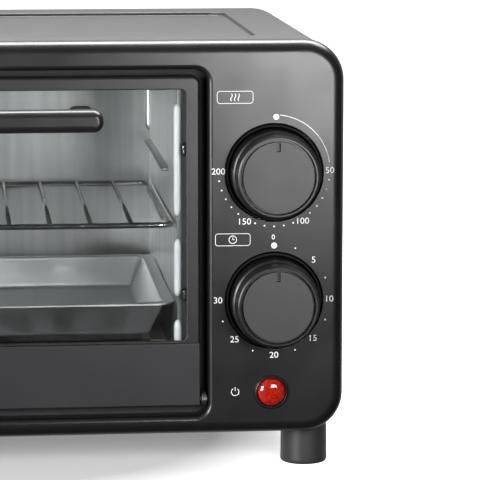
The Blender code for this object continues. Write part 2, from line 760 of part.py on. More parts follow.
def door_frame(hinge):
    pane = rounded(PANE_X, PANE_Z, 0.003, 3)
    frame = upright_plate("door_frame", [rounded(DOOR_X, DOOR_Z, DOOR_R), pane], (0.0, DOOR_THICKNESS))
    rebate = box("glass_rebate", grown(PANE_X, GLASS_LAP + GAP), (GLASS_FRONT - GAP, DOOR_THICKNESS + 0.001),
                 (PANE_Z[0] - GLASS_LAP - GAP, PANE_Z[1] + GLASS_LAP + GAP))
    seat = box("panel_seat", grown(DOOR_X, 0.001), (-0.001, LOWER_PANEL_THICKNESS + GAP),
               (DOOR_Z[0] - 0.001, PANE_Z[0] - 0.0008))
    pocket = box("door_pocket", grown(PANE_X, -PIN_LENGTH + LUG_THICKNESS),
                 (LOWER_PANEL_THICKNESS + GAP + SHEET, DOOR_THICKNESS + 0.001),
                 (DOOR_Z[0] + SHEET, PANE_Z[0] - GLASS_LAP - GAP - 0.0012))
    cuts = [rebate, seat, pocket]
    for name, end, inward in (("left", DOOR_X[0], 1), ("right", DOOR_X[1], -1)):
        start = (end - inward * 0.001, HINGE_D, HINGE_Z)
        stop = (end + inward * PIN_LENGTH, HINGE_D, HINGE_Z)
        cuts.append(rod(f"pin_bore_{name}", start, stop, PIN_R + PIN_CLEARANCE, 16))
    combine(frame, cuts)
    finish_piece(frame, "black_paint")
    hang(frame, hinge)


def door_panels(hinge):
    panel = upright_plate(
        "door_lower_panel",
        [rounded(DOOR_X, (DOOR_Z[0], PANE_Z[0] - 0.0012), (DOOR_R, DOOR_R, 0.001, 0.001), 4)],
        (0.0, LOWER_PANEL_THICKNESS),
    )
    finish_piece(panel, "black_paint")
    glass = box("door_glass", grown(PANE_X, GLASS_LAP), (GLASS_FRONT, GLASS_FRONT + GLASS_THICKNESS),
                grown(PANE_Z, GLASS_LAP))
    bores = [
        rod(f"glass_bore_{i}", (x, 0.0, handle_z()), (x, DOOR_THICKNESS, handle_z()),
            HANDLE_SCREW_HOLE_R + GAP, 12)
        for i, x in enumerate(handle_legs())
    ]
    combine(glass, bores)
    finish_piece(glass, "glass")
    for piece in (panel, glass):
        hang(piece, hinge)


def handle_z():
    return PANE_Z[1] - HANDLE_DROP


def handle_legs():
    reach = HANDLE_LENGTH / 2 - HANDLE_LEG_INSET
    return (DOOR_MID - reach, DOOR_MID + reach)


def door_handle(hinge):
    """A moulded grip on two legs, held by a screw through the glass behind each leg."""
    height = handle_z()
    outline = rounded(grown((DOOR_MID, DOOR_MID), HANDLE_LENGTH / 2),
                      (-HANDLE_REACH, HANDLE_GRIP_DEPTH - HANDLE_REACH), 0.0045, 4)
    grip = level_plate("door_handle", [outline], grown((height, height), HANDLE_GRIP / 2))
    front = GLASS_FRONT - GAP
    legs = []
    bores = []
    for i, leg in enumerate(handle_legs()):
        legs.append(box(f"handle_leg_{i}", grown((leg, leg), HANDLE_LEG / 2), (0.006 - HANDLE_REACH, front),
                        grown((height, height), HANDLE_GRIP / 2 - 0.0006)))
        bores.append(rod(f"handle_bore_{i}", (leg, front - 0.010, height), (leg, front + 0.001, height),
                         HANDLE_SCREW_R + GAP, 12))
    combine(grip, legs, "UNION")
    combine(grip, bores)
    finish_piece(grip, "black_plastic")
    hang(grip, hinge)
    handle_screws(hinge)


def handle_screws(hinge):
    radius = HANDLE_SCREW_R
    profile = [(0.0, 0.012), (radius, 0.012), (radius, 0.0), (2.5 * radius, 0.0), (2.5 * radius, -0.0008),
               (0.003, -0.0022), (0.0, -0.0022)]
    head = GLASS_FRONT + GLASS_THICKNESS + GAP
    for name, leg in zip(("left", "right"), handle_legs()):
        screw = turned(f"handle_screw_{name}", (leg, head, handle_z()), profile, steps=12)
        finish_piece(screw, "steel")
        hang(screw, hinge)


def glass_clips(hinge):
    """Small spring clips that hold the glass into the frame from behind."""
    back = GLASS_FRONT + GLASS_THICKNESS + GAP
    for name, x, side in (("left", PANE_X[0], -1), ("right", PANE_X[1], 1)):
        span = sorted((x + side * (GLASS_LAP - 0.0002), x - side * 0.0022))
        for level, share in CLIP_PLACES.items():
            z = PANE_Z[0] + share * (PANE_Z[1] - PANE_Z[0])
            clip = box(f"glass_clip_{level}_{name}", span, (back, back + CLIP_THICKNESS),
                       grown((z, z), CLIP_HEIGHT / 2))
            finish_piece(clip, "steel")
            hang(clip, hinge)


def hinges(hinge):
    """A fixed lug at each end of the door, and a pin through it into the door."""
    for name, end, out in (("left", DOOR_X[0], -1), ("right", DOOR_X[1], 1)):
        near = end + out * (DOOR_SIDE_GAP - LUG_THICKNESS) / 2
        x = sorted((near, near + out * LUG_THICKNESS))
        lug = box(f"hinge_lug_{name}", x, (HINGE_D, BEZEL_DEPTH), grown((HINGE_Z, HINGE_Z), LUG_R))
        eye = rod(f"lug_eye_{name}", (x[0], HINGE_D, HINGE_Z), (x[1], HINGE_D, HINGE_Z), LUG_R, 20)
        bore = rod(f"lug_bore_{name}", (x[0] - 0.001, HINGE_D, HINGE_Z), (x[1] + 0.001, HINGE_D, HINGE_Z),
                   PIN_R + PIN_CLEARANCE, 16)
        combine(lug, [eye], "UNION")
        combine(lug, [bore])
        finish_piece(lug, "steel")
        start = (near + out * (LUG_THICKNESS + 0.0005), HINGE_D, HINGE_Z)
        stop = (end - out * (PIN_LENGTH - 0.001), HINGE_D, HINGE_Z)
        pin = rod(f"hinge_pin_{name}", start, stop, PIN_R, 16)
        finish_piece(pin, "steel", smooth=True)
        hang(pin, hinge)


def door():
    hinge = empty("door_hinge_axis", DOOR_MID, HINGE_D, HINGE_Z, OVEN)
    door_frame(hinge)
    door_panels(hinge)
    door_handle(hinge)
    glass_clips(hinge)
    hinges(hinge)


# Controls


def knob_profile():
    bore = SHAFT_R + SHAFT_CLEARANCE
    top = CAP_TOP
    return [
        (0.0, top - 0.0006), (CAP_R - 0.0026, top - 0.0006), (CAP_R - 0.0024, top - 0.0014),
        (CAP_R - 0.0018, top - 0.0014), (CAP_R - 0.0014, top), (CAP_R - 0.0006, top),
        (CAP_R, top - 0.0008), (CAP_R + 0.0002, SKIRT_TOP + 0.0004), (SKIRT_R - 0.0003, SKIRT_TOP),
        (SKIRT_R, SKIRT_TOP - 0.0006), (SKIRT_R, -0.0040), (SKIRT_R - 0.0015, -0.0040),
        (CAP_R - 0.0030, top - 0.0035), (0.0060, top - 0.0035), (0.0060, -0.0030), (bore, -0.0030),
        (bore, top - 0.0080), (0.0, top - 0.0080),
    ]


def control_dish(name, z):
    floor = -DISH_DEPTH - DISH_WALL
    bore = SHAFT_R + 0.0015
    profile = [
        (DISH_R - 0.0008, -0.0002), (DISH_R, -0.0004), (DISH_R, floor), (bore, floor), (bore, -DISH_DEPTH),
        (DISH_R - 0.0018, -DISH_DEPTH),
    ]
    finish_piece(turned(f"{name}_dish", (KNOB_X, 0.0, z), profile, closed=True), "black_plastic")


def control_knob(name, z, axis):
    knob = baked(turned(f"{name}_knob", (KNOB_X, 0.0, z), knob_profile()))
    slot = box(f"{name}_pointer_slot", grown((KNOB_X, KNOB_X), 0.0009), (-CAP_TOP - 0.001, 0.0016 - CAP_TOP),
               (z + CAP_R - 0.0078, z + CAP_R - 0.0034))
    combine(knob, [slot])
    finish_piece(knob, "black_plastic", smooth=True)
    hang(knob, axis)


def control(name, body_side, body_length):
    """One rotary control: dish, knob and shaft in front, and the switch body behind its bracket."""
    z = KNOB_Z[name]
    axis = empty(f"{name}_knob_axis", KNOB_X, 0.0, z, OVEN)
    control_dish(name, z)
    control_knob(name, z, axis)
    shaft_end = BRACKET_DEPTH + 0.006
    shaft = rod(f"{name}_shaft", (KNOB_X, 0.0085 - CAP_TOP, z), (KNOB_X, shaft_end, z), SHAFT_R, 16)
    finish_piece(shaft, "steel", smooth=True)
    hang(shaft, axis)
    start = BRACKET_DEPTH + SHEET + GAP
    body = box(f"{name}_switch", grown((KNOB_X, KNOB_X), body_side / 2), (start, start + body_length),
               grown((z, z), body_side / 2))
    bore = rod(f"{name}_switch_bore", (KNOB_X, start - 0.001, z), (KNOB_X, shaft_end + 0.001, z),
               SHAFT_R + SHAFT_CLEARANCE, 16)
    combine(body, [bore])
    finish_piece(body, "steel")


def control_bracket():
    x = grown((KNOB_X, KNOB_X), KNOB_INSET - BRACKET_MARGIN)
    z = (KNOB_Z["timer"] - TIMER_SIDE / 2 - 0.005, KNOB_Z["temp"] + THERMOSTAT_SIDE / 2 + 0.008)
    holes = [circle(KNOB_X, height, SHAFT_R + 0.0015, 16) for height in KNOB_Z.values()]
    bracket = upright_plate("control_bracket", [rounded(x, z, 0.002, 2), *holes],
                            (BRACKET_DEPTH, BRACKET_DEPTH + SHEET))
    finish_piece(bracket, "galvanised")


def timer_bell():
    """A domed bell on a boss behind the timer, open towards the timer."""
    start = BRACKET_DEPTH + SHEET + GAP + TIMER_LENGTH + GAP
    height, shoulder, wall = BELL_HEIGHT, BELL_R * 0.9, 0.001
    outside = [(0.0, -height), (BELL_R * 0.6, -0.9 * height), (shoulder, -0.58 * height), (BELL_R, 0.0)]
    inside = [(BELL_R - wall, 0.0), (shoulder - wall, -0.5 * height), (BELL_R * 0.6, -0.8 * height),
              (0.003, -0.9 * height), (0.003, 0.0), (0.0, 0.0)]
    profile = [*outside, *inside][::-1]
    bell = turned("timer_bell", (KNOB_X, start, KNOB_Z["timer"]), profile, rotation=(pi / 2, 0.0, 0.0),
                  steps=20)
    finish_piece(bell, "chrome")


def terminal_block():
    z = BASE + GLAND_RISE
    end = CASE_DEPTH - 0.030
    block = box("terminal_block", grown((KNOB_X, KNOB_X), TERMINAL_HALF), (end - TERMINAL_DEPTH, end),
                grown((z, z), TERMINAL_HALF / 2))
    finish_piece(block, "ceramic")


def controls():
    control("temp", THERMOSTAT_SIDE, THERMOSTAT_LENGTH)
    control("timer", TIMER_SIDE, TIMER_LENGTH)
    control_bracket()
    timer_bell()
    terminal_block()


def pilot_lamp():
    ring_r = LAMP_RING_R
    sleeve = ring_r - LAMP_SLEEVE_STEP
    ring = turned(
        "lamp_ring", (LAMP_X, 0.0, LAMP_Z),
        [(LAMP_R + GAP, 0.0016), (ring_r - 0.0006, 0.0016), (ring_r, 0.0010), (ring_r, GAP), (sleeve, GAP),
         (sleeve, -0.008), (LAMP_R + GAP, -0.008)],
        closed=True, steps=24,
    )
    finish_piece(ring, "black_plastic")
    lens = turned(
        "lamp_lens", (LAMP_X, 0.0, LAMP_Z),
        [(0.0, 0.0034), (LAMP_R * 0.45, 0.0031), (LAMP_R * 0.8, 0.0020), (LAMP_R, 0.0004), (LAMP_R, -0.0075),
         (0.0, -0.0075)],
        steps=24,
    )
    finish_piece(lens, "red_lens")
    start = (LAMP_X, 0.0080 + GAP, LAMP_Z)
    body = rod("lamp_body", start, (LAMP_X, LAMP_BODY_END, LAMP_Z), LAMP_R - 0.001, 16)
    finish_piece(body, "black_plastic", smooth=True)


def build():
    front_bezel()
    outer_shell()
    rear_panel()
    base_plate()
    feet()
    rear_fittings()
    cavity()
    heaters()
    wire_rack()
    baking_tray()
    crumb_tray()
    door()
    controls()
    pilot_lamp()


build()
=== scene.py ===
"""The looks of a countertop toaster oven: fine surfaces, printed marks and finishes round the CAD frame."""

import json
import math

import bmesh
import bpy
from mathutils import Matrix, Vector


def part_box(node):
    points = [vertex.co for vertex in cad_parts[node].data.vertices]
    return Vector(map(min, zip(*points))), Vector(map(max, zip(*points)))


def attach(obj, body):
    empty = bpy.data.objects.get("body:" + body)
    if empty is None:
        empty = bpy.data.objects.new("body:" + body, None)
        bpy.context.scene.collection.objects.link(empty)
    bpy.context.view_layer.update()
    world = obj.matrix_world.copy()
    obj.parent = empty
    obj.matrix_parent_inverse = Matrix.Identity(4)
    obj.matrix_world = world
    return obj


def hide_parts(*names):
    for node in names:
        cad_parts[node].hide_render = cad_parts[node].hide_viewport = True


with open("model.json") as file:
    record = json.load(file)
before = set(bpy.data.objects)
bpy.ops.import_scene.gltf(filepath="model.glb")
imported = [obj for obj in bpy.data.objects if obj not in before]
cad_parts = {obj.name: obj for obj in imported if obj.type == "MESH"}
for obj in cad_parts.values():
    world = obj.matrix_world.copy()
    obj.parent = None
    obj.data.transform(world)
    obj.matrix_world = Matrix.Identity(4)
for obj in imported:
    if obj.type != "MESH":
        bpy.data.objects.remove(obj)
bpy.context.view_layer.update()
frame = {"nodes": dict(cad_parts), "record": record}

# Camera
CAMERA_PLACE = (-0.0142, -1.516, 0.3285)
CAMERA_YAW = math.radians(5.78)
CAMERA_PITCH = math.radians(8.44)
CAMERA_LENS = 214.3

# Room light. Each row: a direction's X, Y or Z, the stretch of it over which the light changes,
# and the light at each end
ROOM = (
    ("Y", 0.10, 0.60, 0.03, 0.54),
    ("Z", 0.60, 1.00, 0.0, 0.30),
    ("Z", -0.30, 0.0, 0.0, 0.03),
    ("X", -0.90, -0.30, 0.25, 0.0),
)

# The floor's glow, weaker at the oven to paint a shadow there: its strength at the oven and away from it, and
# the distances between which it grows
FLOOR_GLOW_PAINTED_SHADOW = (0.16, 1.0, 0.125, 0.19)

# Lamps: name, place, what it points at, size and power
LAMPS = (
    ("front_softbox", (0.265, -0.58, 0.190), (0.165, -0.116, 0.180), (0.20, 0.11), 1.95),
    ("left_softbox", (-0.85, -1.10, 0.30), (0.02, -0.05, 0.12), (0.50, 0.50), 25.0),
    ("overhead", (0.0, 0.60, 1.30), (0.0, 0.0, 0.2), (1.6, 1.0), 12.0),
    ("top_strip", (0.08, 0.16, 0.80), (0.05, -0.11, 0.21), (1.20, 0.24), 22.0),
)

# Sizes of fine features, in metres. The case, its sheet, and how much room is left between pieces
CORNER_R = 0.020
EDGE_R = 0.0065
BEZEL_WALL = 0.0015
SHEET = 0.001
GAP = 0.0003

# The door recess and the door
RECESS_SIDE = 0.004
RECESS_ABOVE = 0.0033
RECESS_BELOW = 0.0055
RECESS_R = 0.0065
RECESS_EDGE_R = 0.0026
DOOR_R = 0.004
DOOR_EDGE_R = 0.0015
GLASS_LAP = 0.0027

# The sunken top panel: half its width, and where it starts and ends behind the front
TOP_PANEL = (0.140, 0.038, 0.218)
TOP_PANEL_R = 0.010
TOP_PANEL_SINK = 0.002
TOP_PANEL_EDGE = 0.0009

# Holes in the front
DISH_MOUTH_EDGE = 0.0005
LAMP_HOLE_R = 0.00825
LAMP_HOLE_EDGE = 0.0002

# The upright slots in both sides
SIDE_SLOTS = 8
SIDE_SLOT_START = 0.060
SIDE_SLOT_PITCH = 0.010
SIDE_SLOT_WIDTH = 0.004
SIDE_SLOT_HEIGHTS = (0.110, 0.150)

# Printed marks: the scales' radius, how far each stands above its dish's middle, and the strokes
DIAL_R = 0.0279
DIAL_LIFT = {"temp_dish": 0.0010, "timer_dish": 0.0006}
PRINT_RISE = 0.00005
PRINT_LINE = 0.00035
NUMBER_HEIGHT = 0.0031
SIGN_R = 0.0019
WAVE_GAP = 0.0018
WAVE_SWING = 0.0004
WAVE_STEP = 0.00045

# Pressed beads, rolled edges and rack guides. ROOT is how far a bead reaches into its wall
ROOT = 0.0004
BEAD_DEPTH = 0.0027
BEAD_DOME = 0.0040
EDGE_HALF = 0.0020
EDGE_DEPTH = 0.0015
GUIDE_DEPTH = 0.0042
GUIDE_THICKNESS = 0.0026
GUIDE_TOPS = (0.0835, 0.1229, 0.1488)
GUIDE_SPAN = (-0.050, 0.082)

# The rack and the baking tray
WIRE_R = 0.0015
RACK_BARS = 11
TRAY_WALL = 0.0012
TRAY_RIM = 0.0055
TRAY_TAPER = 0.006
TRAY_CORNER_R = 0.011

# Clips and screws
CLIP_PAD_INSET = 0.0011
SCREW_HEAD_R = 0.0032
REAR_SCREW_INSET = 0.011
BASE_SCREW_INSET = 0.045


# Outlines and solids


def grown(span, by):
    """A stretch made longer by the same amount at each end."""
    return (span[0] - by, span[1] + by)


def span_of(node, axis):
    """Where a sub-part starts and ends along an axis."""
    low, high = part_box(node)
    return (low[axis], high[axis])


def centre_of(node):
    """The middle of a sub-part's box."""
    low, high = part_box(node)
    return (low + high) / 2


def radius_of(node):
    """Half the width of a round sub-part."""
    low, high = span_of(node, 0)
    return (high - low) / 2


def quarter(steps):
    """Even angles over a quarter turn, from 0."""
    return [math.pi / 2 * step / steps for step in range(steps + 1)]


def rounded(x, z, r, steps=12):
    """The outline of a rectangle with round corners, from the low corner round."""
    corners = ((x[0], z[0], 180), (x[1], z[0], 270), (x[1], z[1], 0), (x[0], z[1], 90))
    points = []
    for cx, cz, start in corners:
        mx = cx + (r if cx == x[0] else -r)
        mz = cz + (r if cz == z[0] else -r)
        for step in range(steps + 1):
            angle = math.radians(start + 90 * step / steps)
            points.append((mx + r * math.cos(angle), mz + r * math.sin(angle)))
    return points


def new_piece(name, shape):
    """A mesh object from a bmesh, linked and at the origin."""
    mesh = bpy.data.meshes.new(name)
    shape.to_mesh(mesh)
    shape.free()
    made = bpy.data.objects.new(name, mesh)
    bpy.context.scene.collection.objects.link(made)
    return made


def bridge(shape, pairs):
    """Faces between pairs of closed rings with as many points each."""
    for low, high in pairs:
        count = len(low)
        for i in range(count):
            j = (i + 1) % count
            shape.faces.new((low[i], low[j], high[j], high[i]))


def loft(name, rings):
    """A closed solid through rings of points, with a flat cap at each end."""
    shape = bmesh.new()
    rows = [[shape.verts.new(point) for point in ring] for ring in rings]
    bridge(shape, zip(rows, rows[1:]))
    shape.faces.new(rows[0])
    shape.faces.new(rows[-1])
    bmesh.ops.recalc_face_normals(shape, faces=shape.faces)
    return new_piece(name, shape)


def upright_loft(name, x, z, r, stages, steps=12):
    """A loft facing the front. Each stage is a depth in Y and how far the outline is grown."""
    rings = []
    for y, by in stages:
        rings.append([(px, y, pz) for px, pz in rounded(grown(x, by), grown(z, by), r + by, steps)])
    return loft(name, rings)


def level_loft(name, x, y, r, stages, steps=12):
    """A loft standing up. Each stage is a height and how far the outline is grown."""
    rings = []
    for z, by in stages:
        rings.append([(px, py, z) for px, py in rounded(grown(x, by), grown(y, by), r + by, steps)])
    return loft(name, rings)


def rim_stages(front, radius, back, segments=8):
    """Stages of a plate whose front rim is rounded, from the back forward."""
    stages = [(back, 0.0)]
    for turn in quarter(segments):
        stages.append((front + radius * (1 - math.sin(turn)), -radius * (1 - math.cos(turn))))
    return stages


def mouth_stages(front, radius, back, segments=6):
    """Stages of a cutter that leaves a rounded edge at its mouth, from the back forward."""
    stages = [(back, 0.0)]
    for turn in quarter(segments):
        stages.append((front + radius * (1 - math.sin(turn)), radius * (1 - math.cos(turn))))
    stages.append((front - 0.002, radius + 0.0005))
    return stages


def block(name, x, y, z):
    """A plain block between three pairs of limits."""
    low = Vector((x[0], y[0], z[0]))
    high = Vector((x[1], y[1], z[1]))
    shape = bmesh.new()
    bmesh.ops.create_cube(shape, size=1.0)
    bmesh.ops.scale(shape, vec=high - low, verts=shape.verts)
    bmesh.ops.translate(shape, vec=(low + high) / 2, verts=shape.verts)
    return new_piece(name, shape)


def rod(name, start, end, radius, sides=32):
    """A round bar from one point to another."""
    start, end = Vector(start), Vector(end)
    shape = bmesh.new()
    bmesh.ops.create_cone(
        shape, cap_ends=True, segments=sides, radius1=radius, radius2=radius, depth=(end - start).length
    )
    turn = (end - start).to_track_quat("Z", "Y").to_matrix()
    bmesh.ops.rotate(shape, matrix=turn, verts=shape.verts)
    bmesh.ops.translate(shape, vec=(start + end) / 2, verts=shape.verts)
    return new_piece(name, shape)


def lathe(name, centre, profile, axis="front", closed=False, segments=96):
    """A turned solid. The profile holds (radius, height) points, with height along the axis."""
    directions = {"front": Vector((0, -1, 0)), "rear": Vector((0, 1, 0)), "up": Vector((0, 0, 1))}
    along = directions[axis]
    across = Vector((1, 0, 0))
    third = along.cross(across)
    shape = bmesh.new()
    rows = []
    for radius, height in profile:
        base = Vector(centre) + along * height
        if radius < 1e-7:
            rows.append([shape.verts.new(base)])
            continue
        ring = []
        for step in range(segments):
            turn = 2 * math.pi * step / segments
            ring.append(shape.verts.new(base + (across * math.cos(turn) + third * math.sin(turn)) * radius))
        rows.append(ring)
    pairs = list(zip(rows, rows[1:]))
    if closed:
        pairs.append((rows[-1], rows[0]))
    for low, high in pairs:
        for i in range(segments):
            j = (i + 1) % segments
            corners = [low[i % len(low)], low[j % len(low)], high[j % len(high)], high[i % len(high)]]
            corners = list(dict.fromkeys(corners))
            if len(corners) > 2:
                shape.faces.new(corners)
    bmesh.ops.recalc_face_normals(shape, faces=shape.faces)
    return new_piece(name, shape)


def cut(piece, cutters, operation="DIFFERENCE"):
    """Cuts solids from a piece, or joins them to it, and removes them."""
    for other in cutters:
        modifier = piece.modifiers.new("cut", "BOOLEAN")
        modifier.operation = operation
        modifier.object = other
    bake(piece)
    for other in cutters:
        bpy.data.objects.remove(other)
    return piece


def bake(piece):
    """Makes a piece's modifiers part of its mesh."""
    graph = bpy.context.evaluated_depsgraph_get()
    mesh = bpy.data.meshes.new_from_object(piece.evaluated_get(graph))
    piece.modifiers.clear()
    piece.data = mesh
    return piece


def soften(piece, width, segments=2, angle=35):
    """Rounds the sharp edges of a piece."""
    modifier = piece.modifiers.new("edges", "BEVEL")
    modifier.width = width
    modifier.segments = segments
    modifier.limit_method = "ANGLE"
    modifier.angle_limit = math.radians(angle)
    modifier.harden_normals = False
    return bake(piece)


def smooth(piece, angle=35):
    """Smooth shading that keeps flat faces flat."""
    piece.data.shade_smooth()
    piece.data.set_sharp_from_angle(angle=math.radians(angle))
    modifier = piece.modifiers.new("normals", "WEIGHTED_NORMAL")
    modifier.keep_sharp = True
    modifier.weight = 100
    return bake(piece)


def finish_piece(piece, material, body, replaced=()):
    """Coats a piece, ties it to its body and hides the sub-parts it stands for."""
    piece.data.materials.clear()
    piece.data.materials.append(material)
    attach(piece, body)
    if replaced:
        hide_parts(*replaced)
    return piece


# Nodes


def add_node(tree, kind, values=None, **settings):
    """A node with its settings, each named input set to a value or linked to a socket."""
    node = tree.nodes.new(kind)
    for name, value in settings.items():
        setattr(node, name, value)
    for label, value in (values or {}).items():
        if isinstance(value, bpy.types.NodeSocket):
            tree.links.new(value, node.inputs[label])
        else:
            node.inputs[label].default_value = value
    return node


def maths(tree, operation, first, second=0.0):
    """The result of one operation on two numbers or sockets."""
    return add_node(tree, "ShaderNodeMath", {0: first, 1: second}, operation=operation).outputs[0]


# Finishes


def principled(name, colour, roughness, metallic=0.0, **sockets):
    """A material with one Principled shader. Returns it with its tree and shader."""
    material = bpy.data.materials.new(name)
    material.use_nodes = True
    tree = material.node_tree
    shader = tree.nodes["Principled BSDF"]
    shader.inputs["Base Color"].default_value = (*colour, 1.0)
    shader.inputs["Roughness"].default_value = roughness
    shader.inputs["Metallic"].default_value = metallic
    for socket, value in sockets.items():
        shader.inputs[socket.replace("_", " ")].default_value = value
    return material, tree, shader


def noise(tree, scale, detail=3.0, stretch=(1.0, 1.0, 1.0), roughness=0.5):
    """A noise value on object coordinates, in features per metre."""
    place = add_node(tree, "ShaderNodeTexCoord").outputs["Object"]
    mapping = add_node(tree, "ShaderNodeMapping", {"Vector": place, "Scale": stretch})
    return add_node(tree, "ShaderNodeTexNoise", {
        "Vector": mapping.outputs["Vector"], "Scale": scale, "Detail": detail, "Roughness": roughness,
    }).outputs["Fac"]


def spread(tree, value, low, high, start=0.3, stop=0.7):
    """A value mapped to the range low to high."""
    return add_node(tree, "ShaderNodeMapRange", {
        "Value": value, "From Min": start, "From Max": stop, "To Min": low, "To Max": high,
    }).outputs["Result"]


def blend_colours(tree, value, first, second):
    """A colour between two, by a value from 0 to 1."""
    ends = {0: value, 6: (*first, 1.0), 7: (*second, 1.0)}
    return add_node(tree, "ShaderNodeMix", ends, data_type="RGBA").outputs[2]


def bump(tree, shader, layers):
    """Bumps stacked from (height value, depth in metres) layers."""
    normal = None
    for height, distance in layers:
        node = add_node(tree, "ShaderNodeBump", {"Strength": 1.0, "Distance": distance, "Height": height})
        if normal is not None:
            tree.links.new(normal, node.inputs["Normal"])
        normal = node.outputs["Normal"]
    tree.links.new(normal, shader.inputs["Normal"])


def powder_coat(name, colour, roughness, grain=1500.0, depth=0.00002):
    """Sprayed paint with a fine even grain."""
    material, tree, shader = principled(name, colour, roughness)
    lighter = tuple(min(1.0, c * 1.25 + 0.002) for c in colour)
    tone = blend_colours(tree, noise(tree, 700.0, 2.0), colour, lighter)
    tree.links.new(tone, shader.inputs["Base Color"])
    gloss = spread(tree, noise(tree, 45.0), roughness - 0.03, roughness + 0.03)
    tree.links.new(gloss, shader.inputs["Roughness"])
    bump(tree, shader, [(noise(tree, grain, 2.0), depth)])
    return material


def moulded_plastic(name, colour, roughness, grain=2500.0, depth=0.00001, shine=0.5):
    """Moulded plastic with a slight grain from its tool."""
    material, tree, shader = principled(name, colour, roughness, Specular_IOR_Level=shine)
    gloss = spread(tree, noise(tree, 60.0), roughness - 0.04, roughness + 0.05)
    tree.links.new(gloss, shader.inputs["Roughness"])
    lighter = tuple(min(1.0, c * 1.2) for c in colour)
    tree.links.new(blend_colours(tree, noise(tree, 900.0), colour, lighter), shader.inputs["Base Color"])
    bump(tree, shader, [(noise(tree, grain, 2.0), depth)])
    return material


def galvanised_sheet(name, colour, roughness, streak=(1.0, 1.0, 0.06), metallic=1.0):
    """Zinc-coated sheet: soft spangle, drawn streaks and a slight waviness."""
    material, tree, shader = principled(name, colour, roughness, metallic)
    streaks = noise(tree, 160.0, 4.0, streak)
    darker = tuple(c * 0.78 for c in colour)
    tone = blend_colours(tree, spread(tree, streaks, 0.0, 1.0), darker, colour)
    tree.links.new(tone, shader.inputs["Base Color"])
    gloss = spread(tree, noise(tree, 70.0, 2.0), roughness - 0.02, roughness + 0.02)
    tree.links.new(gloss, shader.inputs["Roughness"])
    waves = noise(tree, 26.0, 1.0, (1.0, 1.0, streak[2] * 4))
    bump(tree, shader, [(waves, 0.000008), (streaks, 0.000006)])
    return material


def plain_metal(name, colour, roughness, scale=220.0, depth=0.00003):
    """Bare metal with slightly uneven gloss and tone."""
    material, tree, shader = principled(name, colour, roughness, 1.0)
    gloss = spread(tree, noise(tree, scale), roughness - 0.05, roughness + 0.07)
    tree.links.new(gloss, shader.inputs["Roughness"])
    darker = tuple(c * 0.85 for c in colour)
    tree.links.new(blend_colours(tree, noise(tree, scale * 0.4), darker, colour), shader.inputs["Base Color"])
    bump(tree, shader, [(noise(tree, scale * 2.0), depth)])
    return material


def clear_pane(name):
    """Flat clear glass: see-through, with a reflection that grows at a slant."""
    material = bpy.data.materials.new(name)
    material.use_nodes = True
    tree = material.node_tree
    tree.nodes.remove(tree.nodes["Principled BSDF"])
    clear = add_node(tree, "ShaderNodeBsdfTransparent", {"Color": (0.97, 0.98, 0.98, 1.0)})
    gloss = add_node(tree, "ShaderNodeBsdfPrincipled", {
        "Base Color": (0.9, 0.92, 0.92, 1.0), "Metallic": 1.0,
        "Roughness": spread(tree, noise(tree, 25.0), 0.02, 0.05),
    })
    slant = add_node(tree, "ShaderNodeFresnel", {"IOR": 1.45})
    mix = add_node(tree, "ShaderNodeMixShader", {
        0: slant.outputs["Fac"], 1: clear.outputs["BSDF"], 2: gloss.outputs["BSDF"],
    })
    tree.links.new(mix.outputs["Shader"], tree.nodes["Material Output"].inputs["Surface"])
    return material


BEZEL_PAINT = powder_coat("bezel_paint", (0.0045, 0.0045, 0.005), 0.32)
SHELL_PAINT = powder_coat("shell_paint", (0.017, 0.017, 0.018), 0.45)
DOOR_PAINT = powder_coat("door_paint", (0.006, 0.006, 0.007), 0.40)
LOWER_PAINT = powder_coat("lower_panel_paint", (0.010, 0.010, 0.012), 0.46)
CLIP_PAINT = powder_coat("clip_paint", (0.006, 0.006, 0.006), 0.50)
# Black paint for the cavity frame, darker and duller still as painted shade in the door gap.
FRAME_PAINT_AND_GAP_SHADE = powder_coat("frame_paint_and_gap_shade", (0.003, 0.003, 0.003), 0.75)
KNOB_PLASTIC = moulded_plastic("knob_plastic", (0.022, 0.022, 0.023), 0.45, 900.0, 0.00003)
SKIRT_PLASTIC = moulded_plastic("skirt_plastic", (0.008, 0.008, 0.0085), 0.34)
DARK_PLASTIC = moulded_plastic("dark_plastic", (0.007, 0.007, 0.0075), 0.36)
# The knob dishes: near-black, dull plastic, as painted shade of their deep recess.
DISH_PLASTIC_PAINTED_SHADE = moulded_plastic("dish_plastic_painted_shade", (0.002, 0.002, 0.0024), 0.50, shine=0.08)
RUBBER = moulded_plastic("rubber", (0.024, 0.024, 0.025), 0.44)
ZINC = galvanised_sheet("zinc_sheet", (0.90, 0.90, 0.90), 0.33)
ZINC_LEVEL = galvanised_sheet("zinc_level_sheet", (0.80, 0.81, 0.81), 0.33, (1.0, 0.06, 1.0))
# The cavity's back wall: a darker copy of the zinc, as painted shade.
ZINC_BACK_PAINTED_SHADE = galvanised_sheet("zinc_back_painted_shade", (0.64, 0.65, 0.65), 0.30)
# The flange at the cavity's mouth: a much darker copy of the zinc, as painted shade.
FLANGE_ZINC_PAINTED_SHADE = galvanised_sheet("flange_zinc_painted_shade", (0.26, 0.27, 0.27), 0.45)
